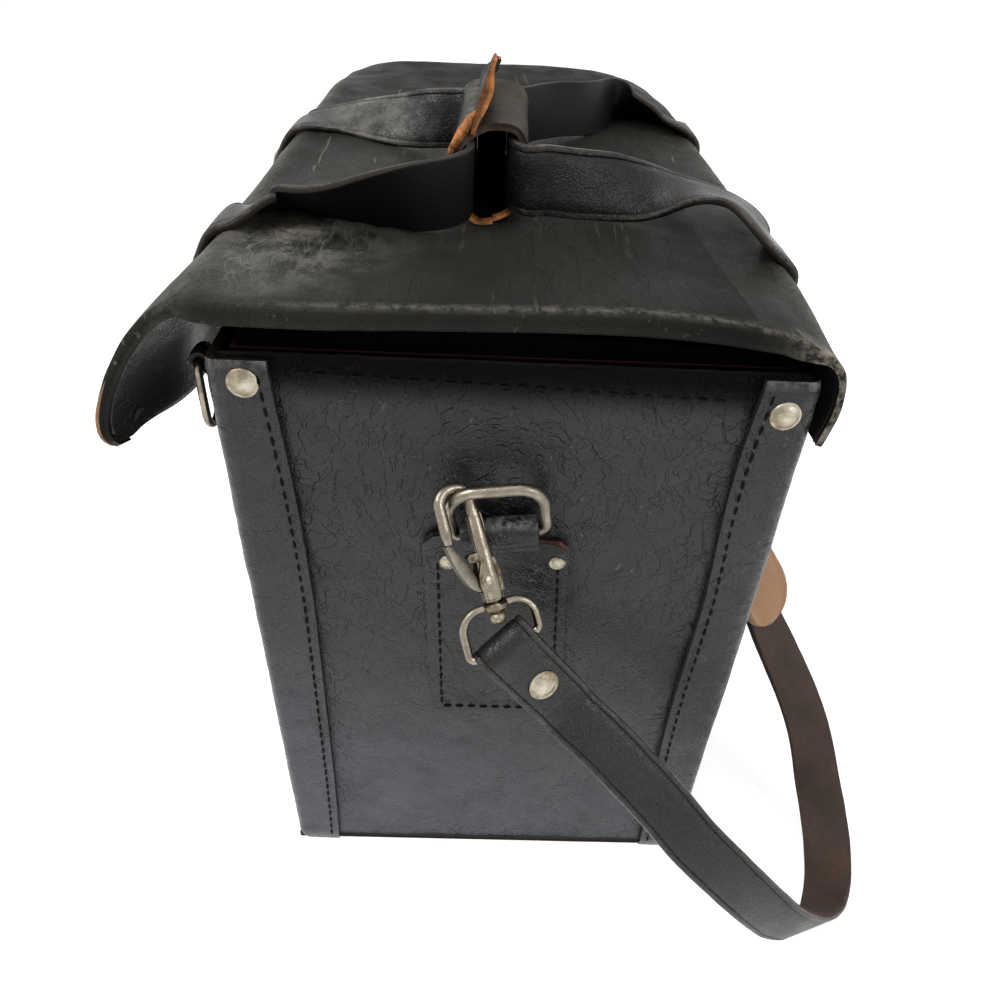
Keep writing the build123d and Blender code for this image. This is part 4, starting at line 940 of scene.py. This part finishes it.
def beyond_fold(side, x, distances, out):
    """Places on the front (-1) or back (1) cover past its fold, a little outside it."""
    path, fold_y = (front_path(x), -85.5) if side < 0 else (back_path(x), 84.0)
    base = smooth_path(path, 300)
    s = lengths(base)
    s -= s[np.argmin(np.abs(base[:, 0] - fold_y))]
    rows = []
    for d in distances:
        i = int(np.argmin(np.abs(s - d)))
        ahead = unit(base[min(i + 1, 299)] - base[i - 1])
        away = vec(ahead[1], -ahead[0])
        rows.append(base[i] + away * np.sign(away[0] * side) * out)
    return rows


def strap_loop(side, pairs, tails, distances):
    """Middles and across directions of one carrying strap, tails included."""
    low, high = np.transpose(pairs, (1, 0, 2))
    start, end = ([(x, *row) for row in beyond_fold(side, x, distances, 1.6)] for x in tails)
    across = low - high
    first, last = (np.tile(X * np.sign(across[i][0]), (len(distances), 1)) for i in (0, -1))
    middles = np.vstack([start[::-1], (low + high) / 2, end])
    rows = spline(np.hstack([middles, unit(np.vstack([first, across, last]))]), 230)
    return rows[:, :3], rows[:, 3:]


def carry_strap(name, side, pairs, tails, distances, bend, painted_light):
    """One carrying strap with a rivet through each of its tails."""
    rows = strap_loop(side, pairs, tails, distances)
    strap = ribbon(*rows, CARRY_WIDTH, CARRY_THICK, ("strap", "rim", "darkflesh"), crease=0.3)
    # painted light on the strap: a painted sheen or painted shade from the given function
    strap.painted_light = painted_light(*np.transpose(strap.points)).tolist()
    handle = (f"{name}_handle", f"{name}_tails")
    strap.piece(f"{name}_carry_strap", nodes=handle, slot="handle_leather", bend=bend)
    caps = Form()
    for x in tails:
        (y0, z0), (y1, z1), (y2, z2) = beyond_fold(side, x, (17.0, 19.0, 21.0), 3.1)
        caps.join(rivet((x, y1, z1), -side * vec(0, z2 - z0, y0 - y2), 4.6, 1.5))
    caps.piece(f"{name}_tail_studs", bend[1], (f"{name}_tail_rivets",), "pale_brass")


# painted sheen on the front strap's run past the wrap, towards the far end
def front_sheen(x, y, z):
    return 0.85 * ease(16, 2, x) * ease(-84, -66, y) * ease(-24, -34, y)


# painted shade on the back strap's near run
def back_shade(x, y, z):
    return -0.38 * ease(60, 72, x) * ease(82, 60, y)


carry_strap("front", -1, FRONT_LOOP, (107.0, -12.0), (4, 11, 19, 27, 34), FLAP_FOLD, front_sheen)
carry_strap("back", 1, BACK_LOOP, (97.8, -60.8), (5, 12, 19, 27, 34), HINGE_FOLD, back_shade)

# Sections of the wrap round the two straps, at its near and far ends
WRAP_NEAR = [
    (-7.0, 241.9), (-13.0, 242.2), (-17.4, 247.0), (-20.2, 254.0), (-21.0, 261.0), (-18.6, 267.0),
    (-12.5, 270.4), (-5.0, 271.2), (0.6, 269.6), (3.4, 265.4), (3.8, 258.0), (3.4, 250.0), (0.8, 244.8),
]
WRAP_FAR = [
    (-7.0, 241.6), (-14.0, 242.0), (-18.8, 245.6), (-20.2, 253.0), (-20.2, 261.0), (-18.6, 267.4),
    (-13.0, 269.8), (-6.0, 270.0), (1.0, 269.0), (5.0, 265.0), (5.6, 257.0), (5.4, 248.0), (2.0, 242.8),
]
WRAP_START = 7.5
TORN_PLY = [(91.4, -21.6, 259.6), (90.8, -20.8, 263.6), (89.8, -18.6, 267.6), (88.6, -15.8, 271.4), (87.6, -13.4, 275)]


def wrap():
    turn = np.linspace(0, 1, 60)
    near = 91.5 - 8.5 * ease(0.36, 0.50, turn) + 5.0 * ease(0.86, 0.97, turn) - WRAP_START
    rows = []
    for k in np.linspace(0, 1, 40):
        section = np.array(WRAP_FAR) * (1 - k) + np.array(WRAP_NEAR) * k
        ring = smooth_path(np.vstack([section, section[:1] + (-2.2, -0.4)]), 60)
        sag = -1.6 * math.sin(math.pi * k)
        uneven = [1.1 * rumple((y, z, 1.0), 6, 2.0) * ease(0.93, 1.0, k) for y, z in ring]
        starts = WRAP_START + near * k + uneven
        rows.append([(x, y, z + sag * (z - 242) / 28) for x, (y, z) in zip(starts, ring)])
    grid = np.array(rows)
    wear = 0.25 * bell(grid[..., 2], 269, 2.5)
    # the wrap's inside is black as painted shade
    form = sheet(grid, 2.2, ("cover", "umber", "shade"), -1, wear, 0.8, rumpled(grid, 0.5, 0.15))
    # the torn ply beside the near rim, and a plug between the two straps, black as painted shade
    torn = spline(TORN_PLY, 30)
    torn = torn + X * np.array([[0.7 * rumple(p, 2.5, 3.0)] for p in torn])
    swell = np.interp(np.arange(30), [0, 8, 17, 24, 29], [0.4, 1.2, 1.8, 1.7, 0.5])
    form.join(tube(torn, swell, "torn", sides=12, uneven=0.35))
    core = [(-13.3, 243.6), (-2.7, 243.6), (-2.7, 266.8), (-13.3, 266.8)]
    form.join(slab(core, (34, 0, 0), Y, Z, 1.0, "shade"))
    form.relook("umber", "torn", lambda x, y, z: x > 50 and z < 247.5)
    return form.relook("cover", "olive", lambda x, y, z: z > 262 and y > -11)


def standing_flap():
    """Loose end of the wrap, standing up and leaning back, torn along its edge."""
    shares = np.linspace(0, 1, 14)
    rows, thick = [], []
    for x in np.linspace(11.5, 88.0, 54):
        k, end, torn = ease(14, 84, x), ease(70, 88, x), ease(84, 88, x)
        height = 8.0 + 12.5 * k + 0.9 * rumple((x, 0, 0), 9, 5.0)
        tilt = math.radians(58 + 14 * k)
        up = Y * math.cos(tilt) + Z * math.sin(tilt)
        row = []
        for v in shares:
            bow = 1.5 * math.sin(math.pi * v)
            ahead = 2.6 * k * (1 - v) * end + 0.8 * rumple((v * 9, x, 3.0), 4, 2.0) * torn
            lean = -1.8 * k * (1 - v) - 1.6 * k * ease(0.55, 1.0, v)
            foot = vec(x + ahead, -13.2 - bow * 0.8 + lean, 270.2 + bow * 0.3 - 1.2 * k * (1 - v))
            row.append(foot + up * height * v)
        rows.append(row)
        thick.append(1.3 + 0.9 * (1 - end) + 2.1 * end * np.sin(math.pi * shares) ** 2)
    grid = np.array(rows)
    wear = np.tile(0.35 * ease(0.9, 1.0, shares), (54, 1))
    return sheet(grid, thick, ("cover", "torn", "olive"), -1, wear, 0.8, rumpled(grid, 0.4, 0.25))


wrap().piece("strap_wrap", "lid", ("handle_wrap",), "handle_leather")
standing_flap().piece("standing_flap", "wrap_flap", ("wrap_flap",), "handle_leather")

# ---------------------------------------------------------------- rings, hooks and eyes
RING_SHAPE = loop([(13.9, 0), (13.9, 18.3), (-13.9, 18.3), (-13.9, 0)], [2.4, 7.4, 8.6, 2.4])
ring_line = in_plane(RING_SHAPE, RING_MID, BAR, RING_UP)
both_ends(tube(ring_line, 1.85, "nickel", True, 16, 0.06, 0.35), "dee_ring", "d_ring_{}", "d_ring_{}", "worn_nickel")

# the hook lies in the plane of HOOK_SIDE and HOOK_UP, and its foot is where the swivel starts
HOOK_UP = unit(vec(-0.43, -0.27, 0.86))
HOOK_SIDE = square_to(vec(0.56, -0.82, -0.02), HOOK_UP)
HOOK_OUT = np.cross(HOOK_SIDE, HOOK_UP)
TURN_IN = 7.0 * (1 - math.sqrt(0.5))
RING_GRIP = RING_MID + BAR * (-13.75 + TURN_IN) + RING_UP * (18 - TURN_IN)
ARCH_HALF = 4.8
ARCH_H = 38 - 1.65 - ARCH_HALF
BILL = ARCH_H + ARCH_HALF - 16.0
HOOK_FOOT = RING_GRIP - HOOK_UP * (0.6 + ARCH_H) - HOOK_SIDE * ARCH_HALF
PIN_AT = HOOK_FOOT + HOOK_SIDE * 1.2 + HOOK_UP * 7.0


def on_hook(rows, out=0.0):
    return in_plane(rows, HOOK_FOOT + HOOK_OUT * out, HOOK_SIDE, HOOK_UP)


def plate(outline, half, out=0.0):
    """A flat plate in the hook's plane."""
    return slab(outline, HOOK_FOOT + HOOK_OUT * out, HOOK_SIDE, HOOK_UP, half, "nickel")


def turned(profile, look, sides):
    """A part turned round the hook's own axis."""
    return lathe(profile, HOOK_FOOT, HOOK_UP, look, sides)


def hook():
    line = [(0, h) for h in np.linspace(20.5, ARCH_H, 8)[:-1]]
    for a in np.linspace(0, math.pi, 15):
        line.append((ARCH_HALF - ARCH_HALF * math.cos(a), ARCH_H + 4.0 * math.sin(a)))
    line += [(2 * ARCH_HALF, h) for h in np.linspace(ARCH_H, BILL, 8)[1:]]
    last = len(line) - 1
    size = np.interp(np.arange(last + 1), [0, 6, 14, 22, last - 2, last], [1.9, 1.7, 1.65, 1.7, 1.75, 1.2])
    form = tube(on_hook(line), size, "nickel", sides=16, uneven=0.05, wear=0.3)
    # spine with a ridge down its face, and two cheeks that hold the gate's pin
    spine = [
        (-3.0, 0.2), (3.0, 0.2), (3.2, 3.4), (-0.6, 5.0), (-0.6, 9.0), (2.1, 13.2), (2.0, 26.0), (1.0, 28.5),
        (-1.0, 28.5), (-2.1, 26.0), (-2.3, 14.0), (-3.2, 10.0), (-3.3, 3.0),
    ]
    form.join(plate(spine, 1.1))
    horn = spline(on_hook([(-0.3, h) for h in (0.4, 2.0, 5.0, 9.0, 13.0, 17.0, 21.0, 25.0, 28.0)]), 40)
    thick = np.interp(np.linspace(0, 28, 40), [0, 3, 8, 13, 20, 28], [2.5, 2.9, 3.0, 2.6, 2.2, 1.7])
    form.join(tube(horn, thick, "nickel", sides=20, uneven=0.06, wear=0.25))
    cheek = [(-3.1, 2.6), (3.6, 3.4), (4.2, 6.0), (3.8, 9.2), (2.2, 13.0), (-2.2, 13.0), (-3.2, 9.0)]
    form.join(plate(cheek, 0.35, -2.0)).join(plate(cheek, 0.35, 2.0))
    ridge = on_hook([(-0.2, 12.5), (-0.2, 16), (-0.1, 20), (0, 24), (0, 27.5)], 2.1)
    form.join(tube(ridge, [0.35, 0.7, 0.75, 0.6, 0.3], "nickel", sides=10, wear=0.8))
    form.join(plate([(1.6, 12.4), (5.0, 13.4), (5.6, 14.6), (4.6, 15.6), (1.6, 15.4)], 1.0))
    # swivel pin, its ball and the washer above the eye
    form.join(turned([(1.5, -5.4), (1.5, 0.4)], "nickel", 20))
    ball = [(2.5 * math.sin(a), -5.3 - 2.3 * math.cos(a)) for a in np.linspace(0.12, math.pi - 0.5, 14)]
    form.join(turned(ball, "brass", 28))
    return form.join(turned([(2.2, 0.0), (2.7, 0.35), (2.7, 0.8), (2.0, 1.1)], "nickel", 28))


def gate():
    """Bent leaf that closes the hook, with the eye that turns on the pin."""
    count = 22
    bowed = [(1.3, 6.0), (3.0, 4.7), (5.0, 5.2), (7.4, 8.6), (9.2, 13.0), (10.2, 17.4), (10.6, BILL - 0.2)]
    path = smooth_path(bowed, count)
    points = []
    for share, place, (x, y) in zip(np.linspace(0, 1, count), path, unit(np.gradient(path, axis=0))):
        half = 1.5 - 0.3 * share
        depth = -0.6 - 2.4 * max(math.sin(math.pi * share), 0.0) ** 0.7
        for h, w in ((0.45, -half), (0.45, half), (depth, half), (depth, -half)):
            points += [*on_hook([place + (y * h, -x * h)], w)]
    form = Form().add(points, rings(count, 4, turned=True), "gate", [0.5, 0.5, 0.0, 0.0] * count)
    return form.join(lathe([(1.0, -1.45), (1.65, -1.4), (1.65, 1.4), (1.0, 1.45)], PIN_AT, HOOK_OUT, "gate", 24))


both_ends(hook(), "spring_hook", "snap_hook_{}", "snap_hook_{}", "worn_nickel")
both_ends(gate(), "hook_leaf", "hook_gate_{}", "hook_gate_{}", "worn_nickel")
pin = [
    (0.75, -2.9), (1.25, -2.7), (1.3, -2.4), (0.78, -2.35), (0.78, 2.35), (1.3, 2.4), (1.25, 2.75), (0.6, 3.0),
]
both_ends(lathe(pin, PIN_AT, HOOK_OUT, "brass", 24), "leaf_pin", "snap_hook_{}", "gate_pin_{}", "worn_nickel")

EYE_SIDE = square_to(vec(-0.50, 0.69, 0.53), HOOK_UP)
EYE_BAR = HOOK_FOOT - HOOK_UP * 14.5
EYE_WAY = unit(EYE_SIDE * 22.6 + HOOK_UP * 3.8)
eye_shape = loop([(11.3, -12.6), (11.3, -1.5), (-11.3, -1.5), (-11.3, -16.4)], [1.8, 6, 6.5, 1.8])
eye = tube(in_plane(eye_shape, HOOK_FOOT, EYE_SIDE, HOOK_UP), 1.25, "nickel", True, 14, 0.05, 0.35)
collar = [(1.62, -2.75), (3.3, -2.7), (3.9, -2.2), (3.9, -0.9), (3.3, -0.35), (1.62, -0.3)]
both_ends(eye.join(turned(collar, "nickel", 36)), "strap_eye", "swivel_eye_{}", "swivel_eye_{}", "worn_nickel")

# ---------------------------------------------------------------- shoulder strap
# Stations of the strap's near half, each with the direction of its width
RUN = [
    ((190, 24, 119), (-0.50, 0.69, 0.53)), ((201, 47, 100), (-0.50, 0.69, 0.52)),
    ((211, 70, 76), (-0.46, 0.69, 0.56)), ((215, 92, 52), (-0.36, 0.70, 0.62)),
    ((214, 108, 33), (-0.20, 0.72, 0.66)), ((207, 124, 17), (-0.05, 0.75, 0.66)),
    ((195, 136, 8.6), (0.06, 0.80, 0.60)), ((178, 144, 6.6), (0.10, 0.84, 0.53)),
    ((161, 147, 11), (0.03, 0.90, 0.43)), ((147, 145, 22), (-0.08, 0.94, 0.33)),
    ((135, 140, 40), (-0.27, 0.93, 0.24)), ((125, 130, 61), (-0.45, 0.88, 0.16)),
    ((118, 117, 83), (-0.60, 0.79, 0.10)), ((110, 106, 103), (-0.60, 0.75, -0.25)),
    ((93, 98, 120), (-0.45, 0.60, -0.65)), ((65, 93, 130), (-0.20, 0.50, -0.85)),
    ((33, 91, 134), (-0.05, 0.42, -0.90)), ((0, 90.5, 135), (0, 0.40, -0.92)),
]
STRAP_WIDTH, STRAP_THICK = 19.0, 2.8
PAD_STATION = 12
half_run = np.array([(*p, *unit(way)) for p, way in RUN])
whole = np.vstack([half_run, (half_run * (-1, 1, 1, -1, 1, 1))[-2::-1]])
knots = lengths(whole[:, :3])
spread = [np.linspace(a, b, max(3, int((b - a) / 2.6)) + 1) for a, b in zip(knots, knots[1:])]
steps = np.unique(np.concatenate(spread).round(6))
dense = spline(whole, at=np.clip(steps, 0, knots[-1]))
marks = [int(np.argmin(np.abs(steps - k))) for k in knots]
LAST_STATION = len(whole) - 1


def run_part(first, last):
    """The stretch of the shoulder strap between two of its stations."""
    # one more ring at each end keeps the faces of neighbouring stretches in line
    low, high = marks[first], marks[last]
    start, stop = max(low - 1, 0), min(high + 1, len(dense) - 1)
    rows = dense[start : stop + 1]
    looks = ("strap", "umber", "flesh")
    form = ribbon(rows[:, :3], rows[:, 3:], STRAP_WIDTH, STRAP_THICK, looks, (False, False), crease=0.25)
    columns = len(form.points) // len(rows)
    part = slice((low - start) * columns, len(form.points) - (stop - high) * columns)
    kept = [
        (tuple(i - part.start for i in face), look)
        for face, look in zip(form.faces, form.looks)
        if part.start <= min(face) and max(face) < part.stop
    ]
    faces, face_looks = zip(*kept)
    return Form().add(form.points[part], faces, face_looks, form.wear[part], form.crease[part])


run_part(3, LAST_STATION - 3).piece("shoulder_run", "case", ("shoulder_strap",), "strap_leather")
for side in ("right", "left"):
    # the strap between the case and the swivel eye is cut into stretches, each across one joint
    chain = ["case", f"d_ring_{side}", f"snap_hook_{side}", f"swivel_eye_{side}"]
    for station, near_body, far_body in zip((2, 1, 0), chain, chain[1:]):
        a, b = (station + 1, station) if side == "right" else (LAST_STATION - station - 1, LAST_STATION - station)
        bend = (near_body, far_body, tuple(whole[a][:3]), tuple(whole[b][:3]))
        run_part(min(a, b), max(a, b)).piece(f"shoulder_{side}_{station}", slot="strap_leather", bend=bend)


def strap_turn():
    """End of the strap: round the eye's bar and back behind itself."""
    start = whole[0][:3]
    ahead = unit(dense[marks[0] + 1][:3] - dense[marks[0]][:3])
    span = float(np.linalg.norm(start - EYE_BAR))
    way = unit(start - EYE_BAR)
    run_side, bar_side = square_to(unit(whole[0][3:]), ahead), square_to(EYE_WAY, way)
    grain, run_grain = np.cross(way, unit(bar_side + run_side)), np.cross(ahead, run_side)
    radius = 3.1

    def row(share, out):
        return (*(start - way * span * share + out), *unit(run_side * (1 - share) + bar_side * share))

    rows = [(*(start + ahead * d), *run_side) for d in (9, 3, 0)]
    rows += [row(share, grain * radius * share**2) for share in (0.22, 0.45, 0.7)]
    for a in np.linspace(-0.2, math.pi + 0.2, 13):
        rows.append((*(EYE_BAR + grain * radius * math.cos(a) - way * radius * math.sin(a)), *bar_side))
    rows += [row(share, -grain * (2.9 + 0.3 * share) - run_grain * 0.2) for share in (0.7, 0.45, 0.22, 0.06)]
    rows = spline(np.array(rows), 120)
    first = int(np.argmin(np.linalg.norm(rows[:40, :3] - start, axis=1)))
    rows = rows[max(first - 1, 0) :][::-1]
    form = ribbon(rows[:, :3], rows[:, 3:], STRAP_WIDTH, STRAP_THICK, ("strap", "rim", "darkflesh"), crease=0.3)
    return form, rivet(EYE_BAR + way * 19.6 + grain * 2.6, grain, 5.0, 1.4)


turn_form, turn_stud = strap_turn()
both_ends(turn_form, "strap_turn", "swivel_eye_{}", "strap_end_{}", "strap_leather")
both_ends(turn_stud, "strap_stud", "swivel_eye_{}", "strap_rivet_{}", "pale_brass")


def shoulder_cushion():
    """Soft pad under the strap, crowned, with a rolled rim and round ends."""
    half_width, sunk_by, puff = 17, 4.9, 2.5
    rows = spline(dense[marks[PAD_STATION] + 3 : marks[LAST_STATION - PAD_STATION] - 2], 110)
    middles = rows[:, :3]
    along = unit(np.gradient(middles, axis=0))
    side = unit(rows[:, 3:] - along * np.sum(rows[:, 3:] * along, axis=1)[:, None])
    s = lengths(middles)
    from_end = np.minimum(s, s[-1] - s)
    round_end = np.sqrt(np.clip(1 - (1 - np.minimum(from_end / 20.0, 1)) ** 2, 0.004, 1))
    section = [(-1.0, 0.0), (-0.97, 0.9), (-0.90, 1.0), (-0.84, 0.55), (-0.6, 0.85), (-0.3, 1.0), (0.0, 1.05)]
    section += [(-x, y) for x, y in section[-2::-1]]
    section += [(x, -y * 0.9) for x, y in section[-2:0:-1]]
    points = []
    for place, way, grain, share in zip(middles, side, np.cross(along, side), round_end):
        for u, v in section:
            lift = v * puff * (0.45 + 0.55 * share) - sunk_by + 0.25 * rumple(place + way * u * half_width, 12, 1.5)
            points.append(place + way * u * half_width * share + grain * lift)
    worn = [0.5 if abs(u) > 0.88 else 0.0 for u, v in section]
    return Form().add(points, rings(len(rows), len(section), turned=True), "pad", worn * len(rows))


cushion = shoulder_cushion().piece("shoulder_cushion", "case", ("shoulder_pad",), "pad_leather", smooth=1)

# ---------------------------------------------------------------- closure rings on the front wall
CLOSURE_X = 150
closure_shape = loop([(6, 0), (6, -21), (-6, -21), (-6, 0)], [2, 5.6, 5.6, 2])
closure_ring = tube(in_plane(closure_shape, (CLOSURE_X, -87.5, 221), X, Z), 1.2, "nickel", True, 14, 0.05, 0.3)
both_ends(closure_ring, "closure_loop", "closure_ring_{}", "closure_ring_{}", "worn_nickel")
chape_path = [
    (-82.6, 206.5), (-82.7, 213.0), (-84.2, 217.0), (-88.2, 219.0), (-89.9, 221.4), (-87.6, 223.4),
    (-85.2, 221.6), (-83.0, 218.5), (-81.6, 214.5),
]
chape_rows = in_plane(smooth_path(chape_path, 40), (CLOSURE_X, 0, 0), Y, Z)
chape_looks = ("strap", "rim", "darkflesh")
chape = ribbon(chape_rows, np.tile(-X, (40, 1)), 7.6, 1.7, chape_looks, groove=0, uneven=0.1)
both_ends(chape, "closure_tab", "case", "closure_chape_{}", "strap_leather")
chape_studs = studs([(CLOSURE_X, -83.3, 209.6)], -Y, 2.5, 1.2, 1)
chape_studs.piece("chape_studs", "case", ("chape_rivets",), "pale_brass")

# ---------------------------------------------------------------- boards, lining and lips kept as they are
# the back and end boards and the dust lips are black as painted shade in the gap under the lid
KEPT = {
    "body_lining": "burgundy", "back_board": "shade", "bottom_board": "card",
    "end_board_right": "shade", "end_board_left": "shade", "dust_lip_right": "shade", "dust_lip_left": "shade",
}
for node, look in KEPT.items():
    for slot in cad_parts[node].material_slots:
        slot.material = LOOKS[look]

# ---------------------------------------------------------------- floor, light and camera
floor_mesh = bpy.data.meshes.new("floor")
floor_mesh.from_pydata([(-4, -4, -0.0004), (4, -4, -0.0004), (4, 4, -0.0004), (-4, 4, -0.0004)], [], [(0, 1, 2, 3)])
floor = bpy.data.objects.new("floor", floor_mesh)
bpy.context.scene.collection.objects.link(floor)

ground = Tree(bpy.data.materials.new("pale floor"))
matt = ground.node("ShaderNodeBsdfDiffuse", {"Color": (0.75, 0.75, 0.75, 1)})
glow = ground.node("ShaderNodeEmission", {"Strength": ground.math("MULTIPLY", ground.seen_directly(), 0.62)})
total = ground.node("ShaderNodeAddShader", {0: matt.outputs[0], 1: glow.outputs[0]})
ground.node("ShaderNodeOutputMaterial", {"Surface": total.outputs[0]})
floor_mesh.materials.append(ground.owner)

sky = Tree(bpy.data.worlds.new("studio"))
bpy.context.scene.world = sky.owner
level = sky.node("ShaderNodeMapRange", {"Value": sky.seen_directly(), "To Min": 0.55, "To Max": 1.0})
backdrop = sky.node("ShaderNodeBackground", {"Color": (1, 1, 1, 1), "Strength": level.outputs[0]})
sky.node("ShaderNodeOutputWorld", {"Surface": backdrop.outputs[0]})


def lamp(name, place, aim, size, power):
    light = bpy.data.lights.new(name, "AREA")
    light.shape, light.size, light.energy = "DISK", size, power
    made = bpy.data.objects.new(name, light)
    bpy.context.scene.collection.objects.link(made)
    made.location = place
    made.rotation_euler = (Vector(aim) - Vector(place)).to_track_quat("-Z", "Y").to_euler()


lamp("key", (0.5, -0.9, 1.3), (0.05, 0, 0.15), 0.9, 14)
lamp("fill", (0.9, 0.9, 0.9), (0.1, 0, 0.15), 0.8, 6)
lamp("top", (-0.3, 0.1, 1.6), (0, 0, 0.2), 0.8, 8)

camera = bpy.data.cameras.new("camera")
camera.sensor_width, camera.lens = 36.0, 29.34
camera.clip_start, camera.clip_end = 0.01, 50
view = bpy.data.objects.new("camera", camera)
bpy.context.scene.collection.objects.link(view)
pitch, heading, tip = math.radians(37.21), math.radians(2.078), math.radians(3.221)
ahead = vec(-math.cos(pitch) * math.cos(heading), math.cos(pitch) * math.sin(heading), -math.sin(pitch))
right = unit(np.cross(ahead, Z))
up = np.cross(right, ahead)
right, up = right * math.cos(tip) + up * math.sin(tip), up * math.cos(tip) - right * math.sin(tip)
placed = Matrix([tuple(row) for row in np.column_stack([right, up, -ahead])]).to_4x4()
placed.translation = Vector((0.3574, -0.0092, 0.3314))
view.matrix_world = placed
bpy.context.scene.camera = view
bpy.context.scene.view_settings.view_transform = "Standard"
